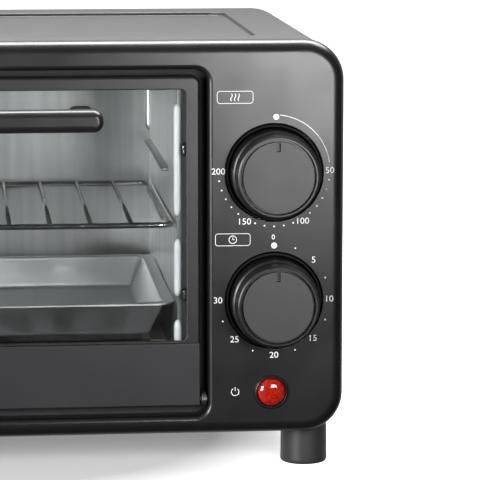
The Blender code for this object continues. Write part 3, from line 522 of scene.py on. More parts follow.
# The rolled edges: a near-white, barely metallic copy of the zinc, as a painted highlight.
ZINC_EDGE_PAINTED_HIGHLIGHT = galvanised_sheet("zinc_edge_painted_highlight", (0.93, 0.93, 0.94), 0.40, metallic=0.10)
PLAIN_STEEL = plain_metal("plain_steel", (0.62, 0.62, 0.63), 0.30, 220.0, 0.000008)
TRAY_METAL = plain_metal("tray_metal", (0.88, 0.89, 0.89), 0.38, 60.0, 0.000001)
CHROME = plain_metal("rack_chrome", (0.72, 0.72, 0.73), 0.14, 300.0, 0.00001)
HEATER_METAL = plain_metal("heater_metal", (0.24, 0.22, 0.20), 0.42)
CERAMIC = moulded_plastic("holder_ceramic", (0.70, 0.68, 0.62), 0.65)
PANE = clear_pane("door_pane")
HINGE_METAL = plain_metal("hinge_metal", (0.10, 0.10, 0.10), 0.45)
BRIGHT_STEEL = plain_metal("bright_steel", (0.80, 0.80, 0.81), 0.18, 400.0, 0.00001)
PRINT_INK = moulded_plastic("print_ink", (0.70, 0.70, 0.70), 0.55)
SCREW_STEEL = plain_metal("screw_steel", (0.30, 0.30, 0.31), 0.34)


# Case


def recess_box():
    """The recess in the bezel that the door closes into."""
    x = grown(span_of("door_frame", 0), RECESS_SIDE)
    low, high = span_of("door_frame", 2)
    return x, (low - RECESS_BELOW, high + RECESS_ABOVE)


def bezel():
    """The front: a thin shell with a rolled rim, the door recess and the holes for the controls and lamp."""
    x, z = span_of("front_bezel", 0), span_of("front_bezel", 2)
    front, back = span_of("front_bezel", 1)
    piece = upright_loft("bezel_skin", x, z, CORNER_R, rim_stages(front, EDGE_R, back), 20)
    inner = rim_stages(front + BEZEL_WALL, EDGE_R - BEZEL_WALL, back + 0.002)
    inner_x, inner_z = grown(x, -BEZEL_WALL), grown(z, -BEZEL_WALL)
    hollow = upright_loft("hollow", inner_x, inner_z, CORNER_R - BEZEL_WALL, inner, 20)
    rx, rz = recess_box()
    wall = upright_loft("wall", rx, rz, RECESS_R, [(back + 0.004, BEZEL_WALL), (front - 0.001, BEZEL_WALL)])
    cut(hollow, [wall])
    mouth = upright_loft("mouth", rx, rz, RECESS_R, mouth_stages(front, RECESS_EDGE_R, back + 0.001))
    cutters = [hollow, mouth]
    for name in ("temp", "timer"):
        spot = centre_of(f"{name}_dish")
        cutters.append(round_mouth(spot.x, spot.z, front, radius_of(f"{name}_dish") + GAP, DISH_MOUTH_EDGE))
    spot = centre_of("lamp_ring")
    cutters.append(round_mouth(spot.x, spot.z, front, LAMP_HOLE_R, LAMP_HOLE_EDGE))
    cut(piece, cutters)
    return finish_piece(smooth(piece, 25), BEZEL_PAINT, "oven", ["front_bezel"])


def round_mouth(x, z, front, radius, edge):
    """A cutter for a round hole with a slightly rounded edge."""
    profile = [(0.0, -0.004), (radius, -0.004)]
    for turn in quarter(4):
        profile.append((radius + edge * (1 - math.cos(turn)), -edge * (1 - math.sin(turn))))
    profile += [(radius + edge + 0.0002, 0.002), (0.0, 0.002)]
    return lathe("hole", (x, front, z), profile, segments=96)


def slot_cutter(x, y, z):
    """An upright slot with round ends, through a side wall."""
    radius = (y[1] - y[0]) / 2 * 0.999
    outline = rounded(y, z, radius, 6)
    rings = [[(side, py, pz) for py, pz in outline] for side in x]
    return loft("slot", rings)


def shell():
    """The wrap-round case: a bent sheet with a sunken top panel and upright slots in both sides."""
    x, z = span_of("outer_shell", 0), span_of("outer_shell", 2)
    front, back = span_of("outer_shell", 1)
    face = span_of("front_bezel", 1)[0]
    piece = upright_loft("shell_skin", x, z, CORNER_R, [(back, 0.0), (front, 0.0)], 20)
    hollow = upright_loft("hollow", grown(x, -SHEET), grown(z, -SHEET), CORNER_R - SHEET,
                          [(back + 0.002, 0.0), (front - 0.002, 0.0)], 20)
    half, start, end = TOP_PANEL
    px, py = (-half, half), (face + start, face + end)
    top = z[1]
    boss = level_loft("boss", grown(px, SHEET), grown(py, SHEET), TOP_PANEL_R + SHEET,
                      [(top - TOP_PANEL_SINK - SHEET, 0.0), (top + 0.002, 0.0)])
    cut(hollow, [boss])
    edge = TOP_PANEL_EDGE
    stages = [(top - TOP_PANEL_SINK, -edge)]
    for turn in quarter(4)[1:]:
        stages.append((top - TOP_PANEL_SINK + edge * (1 - math.cos(turn)), -edge * (1 - math.sin(turn))))
    for turn in quarter(4):
        stages.append((top - edge * (1 - math.sin(turn)), edge * (1 - math.cos(turn))))
    stages.append((top + 0.003, edge + 0.0003))
    sink = level_loft("sink", px, py, TOP_PANEL_R, stages)
    floor = block("floor", grown(x, -0.035), (front - 0.002, back + 0.002), (z[0] - 0.002, z[0] + 0.006))
    cutters = [hollow, sink, floor]
    base = span_of("front_bezel", 2)[0]
    heights = (base + SIDE_SLOT_HEIGHTS[0], base + SIDE_SLOT_HEIGHTS[1])
    for side in x:
        for i in range(SIDE_SLOTS):
            y = face + SIDE_SLOT_START + i * SIDE_SLOT_PITCH
            cutters.append(slot_cutter(grown((side, side), 0.004), (y, y + SIDE_SLOT_WIDTH), heights))
    cut(piece, cutters)
    return finish_piece(smooth(piece, 25), SHELL_PAINT, "oven", ["outer_shell"])


# Door


def door_frame():
    """The door: a rounded frame with its window, the rebate for the glass and the hinge bores."""
    x, z = span_of("door_frame", 0), span_of("door_frame", 2)
    front = span_of("front_bezel", 1)[0]
    back = span_of("door_frame", 1)[1]
    piece = upright_loft("door_frame_skin", x, z, DOOR_R, rim_stages(front, DOOR_EDGE_R, back, 5))
    gx = grown(span_of("door_glass", 0), -GLASS_LAP)
    gz = grown(span_of("door_glass", 2), -GLASS_LAP)
    glass_front = span_of("door_glass", 1)[0]
    pane = upright_loft("pane", gx, gz, 0.003, mouth_stages(front, 0.0006, back + 0.001, 4))
    lap = GLASS_LAP + GAP
    rebate = block("rebate", grown(gx, lap), (glass_front - GAP, back + 0.001), grown(gz, lap))
    seat_top = span_of("door_lower_panel", 2)[1] + 0.0004
    seat_back = span_of("door_lower_panel", 1)[1] + GAP
    seat = block("seat", grown(x, 0.001), (front - 0.001, seat_back), (z[0] - 0.001, seat_top))
    pocket_z = (z[0] + SHEET, gz[0] - GLASS_LAP - 0.0015)
    pocket = block("pocket", grown(gx, -0.0121), (seat_back + SHEET, back + 0.001), pocket_z)
    cutters = [pane, rebate, seat, pocket]
    for name in ("left", "right"):
        low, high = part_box(f"hinge_pin_{name}")
        middle = (low + high) / 2
        ends = [(end, middle.y, middle.z) for end in (low.x - 0.001, high.x + 0.001)]
        cutters.append(rod("bore", *ends, (high.z - low.z) / 2 + GAP))
    cut(piece, cutters)
    return finish_piece(smooth(piece, 25), DOOR_PAINT, "door", ["door_frame"])


def lower_panel():
    """The plain panel below the window."""
    x, z = span_of("door_lower_panel", 0), span_of("door_lower_panel", 2)
    front, back = span_of("door_lower_panel", 1)
    piece = block("lower_panel_skin", x, (front, back), z)
    soften(piece, 0.0006, 3)
    return finish_piece(smooth(piece), LOWER_PAINT, "door", ["door_lower_panel"])


def handle():
    """The bar handle on its two legs."""
    x, z = span_of("door_handle", 0), span_of("door_handle", 2)
    front, back = span_of("door_handle", 1)
    stages = [(front + 0.010, -0.0016), (front + 0.0085, 0.0), (front + 0.0035, 0.0),
              (front + 0.0012, -0.0010), (front, -0.0034)]
    piece = upright_loft("handle_grip", x, z, 0.0049, stages, 8)
    legs = []
    for side in (-1, 1):
        centre = (x[0] + x[1]) / 2 + side * ((x[1] - x[0]) / 2 - 0.010)
        leg = upright_loft("leg", grown((centre, centre), 0.0058), grown(z, -0.0008), 0.003,
                           [(back, 0.0), (front + 0.006, 0.0)], 6)
        legs.append(leg)
    cut(piece, legs, "UNION")
    return finish_piece(smooth(piece, 40), DARK_PLASTIC, "door", ["door_handle"])


# Controls


def knob(name, body):
    """A turned knob with a pointer notch. Its cap and its skirt differ a little in finish."""
    low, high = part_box(f"{name}_knob")
    x, z = (low.x + high.x) / 2, (low.z + high.z) / 2
    face = span_of("front_bezel", 1)[0]
    top = face - low.y
    skirt = (high.x - low.x) / 2
    cap = skirt - 0.0016
    shelf = top - 0.010
    profile = [
        (0.0, top - 0.0006), (cap - 0.0028, top - 0.0006), (cap - 0.0026, top - 0.0028),
        (cap - 0.0019, top - 0.0028), (cap - 0.0016, top - 0.0002), (cap - 0.0014, top), (cap - 0.0007, top),
        (cap - 0.0002, top - 0.0003), (cap, top - 0.0008), (cap + 0.0003, shelf + 0.0012),
        (cap + 0.0006, shelf + 0.0003), (skirt - 0.0004, shelf), (skirt - 0.0001, shelf - 0.0003),
        (skirt, shelf - 0.0007), (skirt, -0.0040), (skirt - 0.0015, -0.0040),
        (cap - 0.0030, top - 0.0035), (0.0060, top - 0.0035), (0.0060, -0.0030), (0.0033, -0.0030),
        (0.0033, top - 0.0080), (0.0, top - 0.0080),
    ]
    piece = lathe(f"{name}_knob_skin", (x, face, z), profile, segments=128)
    slot_z = (z + cap - 0.0076, z + cap - 0.0032)
    slot = block("slot", grown((x, x), 0.0011), (low.y - 0.001, low.y + 0.0028), slot_z)
    soften(slot, 0.0003, 2)
    cut(piece, [slot])
    finish_piece(smooth(piece, 30), KNOB_PLASTIC, body, [f"{name}_knob"])
    piece.data.materials.append(SKIRT_PLASTIC)
    for part in piece.data.polygons:
        reach = math.hypot(part.center.x - x, part.center.z - z)
        part.material_index = int(reach > cap - 0.0030)
    return piece


def dish(name):
    """The round dish that a knob turns in."""
    low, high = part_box(f"{name}_dish")
    x, z = (low.x + high.x) / 2, (low.z + high.z) / 2
    face = span_of("front_bezel", 1)[0]
    radius = (high.x - low.x) / 2
    depth = high.y - face
    profile = [
        (radius - 0.0012, 0.0), (radius - 0.0003, -0.0001), (radius, -0.0006), (radius, -depth),
        (0.0045, -depth), (0.0045, -depth + 0.0012), (radius - 0.0030, -depth + 0.0012),
        (radius - 0.0020, -depth + 0.0018),
    ]
    piece = lathe(f"{name}_dish_skin", (x, face, z), profile, closed=True, segments=128)
    # near-black, dull coat: painted shade of the dish's recess
    return finish_piece(smooth(piece, 30), DISH_PLASTIC_PAINTED_SHADE, "oven", [f"{name}_dish"])


# Lamp


def lens_red(name):
    """Clear red plastic: deep colour, a glossy face and a faint glow from the lamp behind it."""
    material, tree, shader = principled(
        name, (0.20, 0.004, 0.002), 0.05, Subsurface_Weight=0.15, Subsurface_Radius=(0.004, 0.0006, 0.0004),
        Subsurface_Scale=1.0, Coat_Weight=1.0, Coat_Roughness=0.03, Emission_Color=(1.0, 0.06, 0.02, 1.0),
    )
    grain = spread(tree, noise(tree, 900.0, 1.0), 0.0, 1.0)
    facets = blend_colours(tree, grain, (0.16, 0.003, 0.002), (0.42, 0.014, 0.005))
    tree.links.new(facets, shader.inputs["Base Color"])
    tree.links.new(spread(tree, noise(tree, 160.0, 1.0), 0.0, 0.05), shader.inputs["Emission Strength"])
    return material


def lamp():
    """The pilot lamp's ring and its domed lens."""
    face = span_of("front_bezel", 1)[0]
    spot = centre_of("lamp_ring")
    outer, inner = radius_of("lamp_ring"), radius_of("lamp_lens")
    sleeve = outer - 0.0008
    ring = lathe("lamp_ring_skin", (spot.x, face, spot.z), [
        (inner + GAP, 0.0008), (inner + 0.0004, 0.0015), (inner + 0.0008, 0.0018), (outer - 0.0010, 0.0017),
        (outer - 0.0005, 0.0014), (outer - 0.0002, 0.0010), (outer, 0.0005), (outer, GAP), (sleeve, GAP),
        (sleeve, -0.008), (inner + GAP, -0.008),
    ], closed=True)
    finish_piece(smooth(ring, 60), SKIRT_PLASTIC, "oven", ["lamp_ring"])
    profile = [(0.0, 0.0034)]
    for turn in quarter(12)[1:]:
        profile.append((inner * math.sin(turn), 0.0004 + 0.0030 * math.cos(turn)))
    profile += [(inner, -0.0075), (0.0, -0.0075)]
    lens = lathe("lamp_lens_skin", (spot.x, face, spot.z), profile)
    finish_piece(smooth(lens, 50), lens_red("clear_red"), "oven", ["lamp_lens"])


# Feet, rear fittings


def feet():
    """Four turned rubber feet, fitted to the round corners of the case."""
    x, z = span_of("outer_shell", 0), span_of("outer_shell", 2)
    length = grown(span_of("outer_shell", 1), 0.02)
    for row in ("front", "rear"):
        for side in ("left", "right"):
            name = f"foot_{row}_{side}"
            low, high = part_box(name)
            middle = (low + high) / 2
            radius = (high.x - low.x) / 2
            top = z[0] + 0.014
            profile = [(0.0, top), (radius * 0.965, top), (radius * 0.99, 0.0060), (radius, 0.0025)]
            for turn in quarter(6)[1:]:
                profile.append((radius - 0.0016 * (1 - math.cos(turn)), 0.0018 * (1 - math.sin(turn))))
            profile.append((0.0, 0.0))
            piece = lathe(f"{name}_skin", (middle.x, middle.y, 0.0), profile, axis="up")
            over = upright_loft("over", grown(x, GAP), grown(z, GAP), CORNER_R + GAP,
                                [(length[1], 0.0), (length[0], 0.0)], 16)
            cut(piece, [over])
            finish_piece(smooth(piece, 40), RUBBER, "oven", [name])


def rear_fittings():
    """The two rubber spacers that keep the oven off the wall."""
    for side in ("left", "right"):
        low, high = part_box(f"rear_spacer_{side}")
        middle = (low + high) / 2
        reach = high.y - low.y
        radius = (high.x - low.x) / 2
        profile = [(0.0, reach), (radius - 0.0030, reach)]
        for turn in quarter(6)[1:]:
            profile.append((radius - 0.0030 + 0.0022 * math.sin(turn), reach - 0.0022 * (1 - math.cos(turn))))
        profile += [(radius, 0.0015), (radius, 0.0), (0.0, 0.0)]
        piece = lathe(f"rear_spacer_{side}_skin", (middle.x, low.y, middle.z), profile, axis="rear")
        finish_piece(smooth(piece, 40), RUBBER, "oven", [f"rear_spacer_{side}"])


# Cavity


def embossed_rib(name, x, y, z, inward):
    """A pressed rib: a half-round bar lying on a wall, rounded at both ends."""
    half = (z[1] - z[0]) / 2
    middle = sum(z) / 2
    deep = abs(x[1] - x[0])
    wall = x[0] if inward > 0 else x[1]
    rings = []
    for end, sign in ((y[0], 1), (y[1], -1)):
        for turn in quarter(6)[::sign]:
            size = max(math.sin(turn), 0.02)
            py = end + sign * half * 1.6 * (1 - math.cos(turn))
            ring = []
            for bend in half_turn(12):
                reach = inward * deep * size * math.sin(bend)
                ring.append((wall + reach, py, middle + half * size * math.cos(bend)))
            ring.append((wall - inward * ROOT, py, middle - half * size))
            ring.append((wall - inward * ROOT, py, middle + half * size))
            rings.append(ring)
    return loft(name, rings)


def half_turn(steps):
    """Even angles over a half turn, from 0."""
    return [math.pi * step / steps for step in range(steps + 1)]


def domed(low, high):
    """Heights and sizes of an upright bead's rings: small at its ends, full between them."""
    ends = [(BEAD_DOME * (1 - math.cos(turn)), max(math.sin(turn), 0.05)) for turn in quarter(8)]
    upper = [(high - rise, size) for rise, size in reversed(ends)]
    return [(low + rise, size) for rise, size in ends] + upper


def rear_bead(name, wall, inward, y, z):
    """An upright pressed bead near the back of a side wall, domed at both ends."""
    half = (y[1] - y[0]) / 2
    middle = sum(y) / 2
    rings = []
    for height, size in domed(*z):
        ring = []
        for turn in half_turn(16):
            reach = inward * BEAD_DEPTH * size * math.sin(turn)
            ring.append((wall + reach, middle - half * size * math.cos(turn), height))
        ring.append((wall - inward * ROOT, middle + half * size, height))
        ring.append((wall - inward * ROOT, middle - half * size, height))
        rings.append(ring)
    return loft(name, rings)


def rolled_edge(name, x, front, z):
    """An upright rolled edge beside the cavity's mouth, domed at both ends."""
    rings = []
    for height, size in domed(*z):
        ring = []
        for turn in half_turn(16):
            reach = EDGE_DEPTH * size * math.sin(turn)
            ring.append((x - EDGE_HALF * size * math.cos(turn), front - reach, height))
        ring.append((x + EDGE_HALF * size, front + ROOT, height))
        ring.append((x - EDGE_HALF * size, front + ROOT, height))
        rings.append(ring)
    return loft(name, rings)


def bead_gaps():
    """Heights left open for the rack and the tray to pass."""
    rack = span_of("wire_rack", 2)
    tray = span_of("baking_tray", 2)
    return grown(rack, 0.0042), grown((tray[1] - 0.0016, tray[1]), 0.0052)


def side_walls():
    """The cavity's side walls, with pressed ribs that carry the rack and rolled edges at the mouth."""
    rack_gap, tray_gap = bead_gaps()
    for side, inward in (("left", 1), ("right", -1)):
        node = f"cavity_{side}_wall"
        x, y, z = span_of(node, 0), span_of(node, 1), span_of(node, 2)
        wall = x[0] + SHEET if inward > 0 else x[1] - SHEET
        sheet_x = tuple(sorted((wall, wall - inward * SHEET)))
        piece = block(f"{node}_skin", sheet_x, y, z)
        ribs, beads = [], []
        for top in GUIDE_TOPS:
            rib_x = tuple(sorted((wall, wall + inward * GUIDE_DEPTH)))
            ribs.append(embossed_rib("rib", rib_x, GUIDE_SPAN, (top - GUIDE_THICKNESS, top), inward))
        flange_front = span_of("cavity_front_frame", 1)[0] - 0.0006
        for low, high in ((z[0], tray_gap[0]), (tray_gap[1], rack_gap[0]), (rack_gap[1], z[1] - 0.012)):
            beads.append(rolled_edge("edge", wall - inward * 0.0002, flange_front, (low, high)))
        rear_y = (y[1] - 0.0052, y[1] - 0.0004)
        ribs.append(rear_bead("bead", wall, inward, rear_y, (GUIDE_TOPS[2] + 0.004, z[1])))
        cut(piece, ribs, "UNION")
        finish_piece(smooth(piece, 30), ZINC, "oven", [node])
        for place, bead in zip(("lower", "middle", "upper"), beads):
            bead.name = f"{side}_{place}_edge"
            # the rolled edges take the near-white zinc: a painted highlight
            finish_piece(smooth(bead, 50), ZINC_EDGE_PAINTED_HIGHLIGHT, "oven", ())


def front_flange():
    """The zinc flange round the mouth of the cavity, seen inside the door's frame."""
    gx = grown(span_of("door_glass", 0), -GLASS_LAP)
    gz = grown(span_of("door_glass", 2), -GLASS_LAP)
    left = span_of("cavity_left_wall", 0)[0] + SHEET
    right = span_of("cavity_right_wall", 0)[1] - SHEET
    z = span_of("cavity_left_wall", 2)
    front = span_of("cavity_front_frame", 1)[0]
    piece = upright_loft("front_flange", grown(gx, 0.0012), (gz[0] - 0.012, gz[1] + 0.0008), 0.003,
                         [(front - 0.0001, 0.0), (front - 0.0006, 0.0)])
    mouth = upright_loft("mouth", (left, right), z, 0.004, [(front + 0.001, 0.0), (front - 0.002, 0.0)])
    cut(piece, [mouth])
    # the flange's zinc is coated darker than the walls': painted shade
    finish_piece(smooth(piece), FLANGE_ZINC_PAINTED_SHADE, "oven", ())


def baking_tray():
    """A pan with drawn, rounded sides and a rolled rim."""
    x, y, z = span_of("baking_tray", 0), span_of("baking_tray", 1), span_of("baking_tray", 2)
    wall, rim, taper = TRAY_WALL, TRAY_RIM, TRAY_TAPER
    top, floor = z[1], z[0]
    stages = [(top - wall, -0.0006), (top - wall + 0.0001, 0.0), (top - 0.0003, 0.0), (top, -0.0005),
              (top, -rim + 0.0004)]
    for turn in quarter(4)[1:]:
        stages.append((top - 0.0015 * (1 - math.cos(turn)), -rim - 0.0010 * math.sin(turn)))
    stages.append((floor + wall + 0.0035, -rim - wall - taper + 0.0010))
    for turn in quarter(5)[1:]:
        inset = -rim - wall - taper + 0.0008 - 0.0030 * (1 - math.cos(turn))
        stages.append((floor + wall + 0.0030 * (1 - math.sin(turn)), inset))
    under = [(floor, -rim - taper - 0.0030)]
    for turn in quarter(5)[1:]:
        inset = -rim - taper - 0.0030 + 0.0034 * math.sin(turn)
        under.append((floor + 0.0034 * (1 - math.cos(turn)), inset))
    under.append((top - wall - 0.0006, -rim + 0.0002))
    under.append((top - wall, -rim + 0.0008))
    rings = []
    for height, by in stages + under:
        outline = rounded(grown(x, by), grown(y, by), max(TRAY_CORNER_R + by, 0.0022), 12)
        rings.append([(px, py, height) for px, py in outline])
    shape = bmesh.new()
    rows = [[shape.verts.new(point) for point in ring] for ring in rings]
    split = len(stages)
    runs = [*zip(rows[:split], rows[1:split]), *zip(rows[split:], rows[split + 1:]), (rows[-1], rows[0])]
    bridge(shape, runs)
    shape.faces.new(rows[split - 1])
    shape.faces.new(rows[split])
    bmesh.ops.recalc_face_normals(shape, faces=shape.faces)
    piece = new_piece("baking_tray_skin", shape)
    finish_piece(smooth(piece, 40), TRAY_METAL, "tray", ["baking_tray"])


def tube(name, points, radius, closed=False, sides=8):
    """A round wire through points, made with a curve and baked."""
    curve = bpy.data.curves.new(name, "CURVE")
    curve.dimensions = "3D"
    curve.bevel_depth = radius
    curve.bevel_resolution = sides
    curve.use_fill_caps = True
    line = curve.splines.new("POLY")
    line.points.add(len(points) - 1)
    for point, place in zip(line.points, points):
        point.co = (*place, 1.0)
    line.use_cyclic_u = closed
    holder = bpy.data.objects.new(name, curve)
    bpy.context.scene.collection.objects.link(holder)
    graph = bpy.context.evaluated_depsgraph_get()
    mesh = bpy.data.meshes.new_from_object(holder.evaluated_get(graph))
    bpy.data.objects.remove(holder)
    shape = bmesh.new()
    shape.from_mesh(mesh)
    bmesh.ops.remove_doubles(shape, verts=shape.verts, dist=1e-6)
    bmesh.ops.recalc_face_normals(shape, faces=shape.faces)
    return new_piece(name, shape)


def wire_rack():
    """The rack's border wire, with its cross wires from the bar tree."""
    x, y, z = span_of("wire_rack", 0), span_of("wire_rack", 1), span_of("wire_rack", 2)
    border = [(px, py, z[0] + WIRE_R) for px, py in rounded(grown(x, -WIRE_R), grown(y, -WIRE_R), 0.0065, 8)]
    piece = tube("rack_border", border, WIRE_R, closed=True)
    finish_piece(smooth(piece, 60), CHROME, "rack", ["wire_rack"])
    bars = grown_from(bars_tree(), "rack_bars", {
        "Count": RACK_BARS, "Width": x[1] - x[0] - 2 * WIRE_R, "Length": y[1] - y[0] - 2 * WIRE_R,
        "Wire radius": WIRE_R * 0.8, "Centre": ((x[0] + x[1]) / 2, (y[0] + y[1]) / 2, z[0] + 1.4 * WIRE_R),
        "Finish": CHROME,
    })
    bars.data.shade_smooth()
    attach(bars, "rack")


def heaters():
    """Four straight heater rods."""
    for level in ("top", "bottom"):
        for row in ("front", "rear"):
            name = f"heater_{level}_{row}"
            low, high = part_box(name)
            middle = (low + high) / 2
            radius = (high.z - low.z) / 2
            piece = rod(f"{name}_skin", (low.x, middle.y, middle.z), (high.x, middle.y, middle.z), radius)
            finish_piece(smooth(piece, 50), HEATER_METAL, "oven", [name])


# Door fittings


def glass_clips():
    """Each clip: a dark spring plate with a bright pad on its face."""
    for level in ("upper", "lower"):
        for side in ("left", "right"):
            name = f"glass_clip_{level}_{side}"
            low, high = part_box(name)
            piece = upright_loft(f"{name}_plate", (low.x, high.x), (low.z, high.z), 0.0014,
                                 [(high.y, 0.0), (low.y + 0.0004, 0.0), (low.y, -0.0004)], 6)
            finish_piece(smooth(piece), CLIP_PAINT, "door", [name])
            pad_x = grown((low.x, high.x), -CLIP_PAD_INSET)
            pad_z = grown((low.z, high.z), -CLIP_PAD_INSET)
            pad = upright_loft(f"{name}_pad", pad_x, pad_z, 0.0008,
                               [(low.y + 0.0003, 0.0), (low.y - 0.0001, 0.0), (low.y - 0.0002, -0.0002)], 6)
            finish_piece(smooth(pad), BRIGHT_STEEL, "door", ())


def hinge_metal():
    """Darker metal for the hinge lugs and pins."""
    for side in ("left", "right"):
        for part in ("lug", "pin"):
            node = frame["nodes"][f"hinge_{part}_{side}"]
            node.data.materials[0] = HINGE_METAL


# Printed marks


def flat_text(words, x, z, height, face):
    """The outlines of a word as a flat mesh on the front face, centred on a point."""
    font = bpy.data.curves.new("words", "FONT")
    font.body = words
    font.resolution_u = 6
    font.offset = 0.0
    holder = bpy.data.objects.new("words", font)
    bpy.context.scene.collection.objects.link(holder)
    graph = bpy.context.evaluated_depsgraph_get()
    mesh = bpy.data.meshes.new_from_object(holder.evaluated_get(graph))
    bpy.data.objects.remove(holder)
    points = [vertex.co for vertex in mesh.vertices]
    low = Vector((min(p.x for p in points), min(p.y for p in points)))
    high = Vector((max(p.x for p in points), max(p.y for p in points)))
    scale = height / (high.y - low.y)
    middle = (low + high) / 2
    for point in points:
        px, pz = (point.x - middle.x) * scale * 1.06, (point.y - middle.y) * scale
        point.x, point.y, point.z = x + px, face - PRINT_RISE, z + pz
    return mesh


def printed(name, meshes):
    """One printed piece from flat meshes, each face turned to the front."""
    shape = bmesh.new()
    for mesh in meshes:
        shape.from_mesh(mesh)
    shape.normal_update()
    for part in shape.faces:
        if part.normal.y > 0:
            part.normal_flip()
    piece = new_piece(name, shape)
    return finish_piece(piece, PRINT_INK, "oven")


def around(node, degrees, radius):
    """A point round a control, clockwise from the top."""
    spot = centre_of(node)
    turn = math.radians(degrees)
    return spot.x + radius * math.sin(turn), spot.z + DIAL_LIFT[node] + radius * math.cos(turn)


def band(points, width, face):
    """A thin printed line through points, as a flat mesh. The line closes where its ends meet."""
    mesh = bpy.data.meshes.new("band")
    shape = bmesh.new()
    pairs = []
    closed = points[0] == points[-1]
    count = len(points)
    for i, point in enumerate(points):
        before = points[i - 1] if i else (points[-2] if closed else point)
        after = points[i + 1] if i + 1 < count else (points[1] if closed else point)
        along = Vector((after[0] - before[0], after[1] - before[1])).normalized()
        side = Vector((-along.y, along.x)) * width / 2
        pairs.append([
            shape.verts.new((point[0] + sign * side.x, face - PRINT_RISE, point[1] + sign * side.y))
            for sign in (-1, 1)
        ])
    for a, b in zip(pairs, pairs[1:]):
        shape.faces.new((a[0], a[1], b[1], b[0]))
    shape.to_mesh(mesh)
    shape.free()
    return mesh


def turned(x, z, radius, first, last, steps=24):
    """Points on an arc, in degrees clockwise from the top. A full turn ends on its first point."""
    turns = [math.radians((first + (last - first) * step / steps) % 360) for step in range(steps + 1)]
    return [(x + radius * math.sin(turn), z + radius * math.cos(turn)) for turn in turns]


def heat_sign(x, z):
    """Three wavy strokes."""
    rows = range(-4, 5)
    return [
        [(x + side + WAVE_SWING * math.sin(math.pi * row / 4), z + WAVE_STEP * row) for row in rows]
        for side in (-WAVE_GAP, 0.0, WAVE_GAP)
    ]


def clock_sign(x, z):
    """A round clock with two hands."""
    hands = [(x, z + 0.65 * SIGN_R), (x, z), (x + 0.5 * SIGN_R, z)]
    return [turned(x, z, SIGN_R, 0, 360), hands]


def power_sign(x, z):
    """An open ring with an upright stroke in its gap."""
    return [turned(x, z, SIGN_R, 35, 325), [(x, z + 0.3 * SIGN_R), (x, z + 1.25 * SIGN_R)]]


def marks():
    """The scales and signs beside the controls: plain numbers and plain signs, with no words."""
    face = span_of("front_bezel", 1)[0]
    temp, timer, lamp = centre_of("temp_dish"), centre_of("timer_dish"), centre_of("lamp_ring")
    meshes = [band([around("temp_dish", 6 + step * 2, DIAL_R) for step in range(39)], PRINT_LINE, face)]
    for step, outward in enumerate((0.0, 0.0012, 0.0012, 0.0)):
        x, z = around("temp_dish", 90 + 60 * step, DIAL_R + outward)
        meshes.append(flat_text(str(50 + 50 * step), x, z, NUMBER_HEIGHT, face))
    for step in range(1, 7):
        x, z = around("timer_dish", 45 * step, DIAL_R + 0.0002)
        meshes.append(flat_text(str(step * 5), x, z, NUMBER_HEIGHT, face))
    meshes.append(flat_text("0", timer.x - 0.0004, timer.z + 0.0322, 0.0024, face))
    heat_spot = (temp.x - 0.0195, temp.z + 0.0378)
    clock_spot = (timer.x - 0.0207, timer.z + 0.0311)
    signs = heat_sign(*heat_spot) + clock_sign(*clock_spot) + power_sign(lamp.x - 0.0182, lamp.z + 0.0003)
    meshes += [band(stroke, PRINT_LINE, face) for stroke in signs]
    for spot, half in ((heat_spot, 0.0089), (clock_spot, 0.0087)):
        outline = rounded(grown((spot[0], spot[0]), half), grown((spot[1], spot[1]), 0.0030), 0.0013, 5)
        meshes.append(band([*outline, outline[0]], 0.00028, face))
    printed("dial_print", meshes)


def open_tree(name, sizes):
    """A geometry tree with named inputs. Returns it with the sockets that hold them."""
    tree = bpy.data.node_groups.new(name, "GeometryNodeTree")
    ports = tree.interface
    ports.new_socket("Geometry", in_out="INPUT", socket_type="NodeSocketGeometry")
    for label, kind in sizes.items():
        ports.new_socket(label, in_out="INPUT", socket_type=f"NodeSocket{kind}")
    ports.new_socket("Geometry", in_out="OUTPUT", socket_type="NodeSocketGeometry")
    return tree, tree.nodes.new("NodeGroupInput").outputs


def close_tree(tree, copies, finish):
    """Copies a shape onto points, makes the copies real and coats them."""
    placed = add_node(tree, "GeometryNodeInstanceOnPoints", copies)
    real = add_node(tree, "GeometryNodeRealizeInstances", {"Geometry": placed.outputs["Instances"]})
    coat = {"Geometry": real.outputs["Geometry"], "Material": finish}
    coat = add_node(tree, "GeometryNodeSetMaterial", coat)
    add_node(tree, "NodeGroupOutput", {"Geometry": coat.outputs["Geometry"]})
    return tree


def points_at(tree, sizes, offset):
    """As many points as Count says, each at its own offset from Centre."""
    place = add_node(tree, "ShaderNodeCombineXYZ", offset)
    shifted = add_node(tree, "ShaderNodeVectorMath", {0: place.outputs["Vector"], 1: sizes["Centre"]})
    points = {"Count": sizes["Count"], "Position": shifted.outputs["Vector"]}
    return add_node(tree, "GeometryNodePoints", points).outputs[0]


def faced(tree, shape):
    """A shape made along Z, turned to lie along Y."""
    turn = {"Geometry": shape.outputs["Mesh"], "Rotation": (math.pi / 2, 0.0, 0.0)}
    return add_node(tree, "GeometryNodeTransform", turn).outputs["Geometry"]


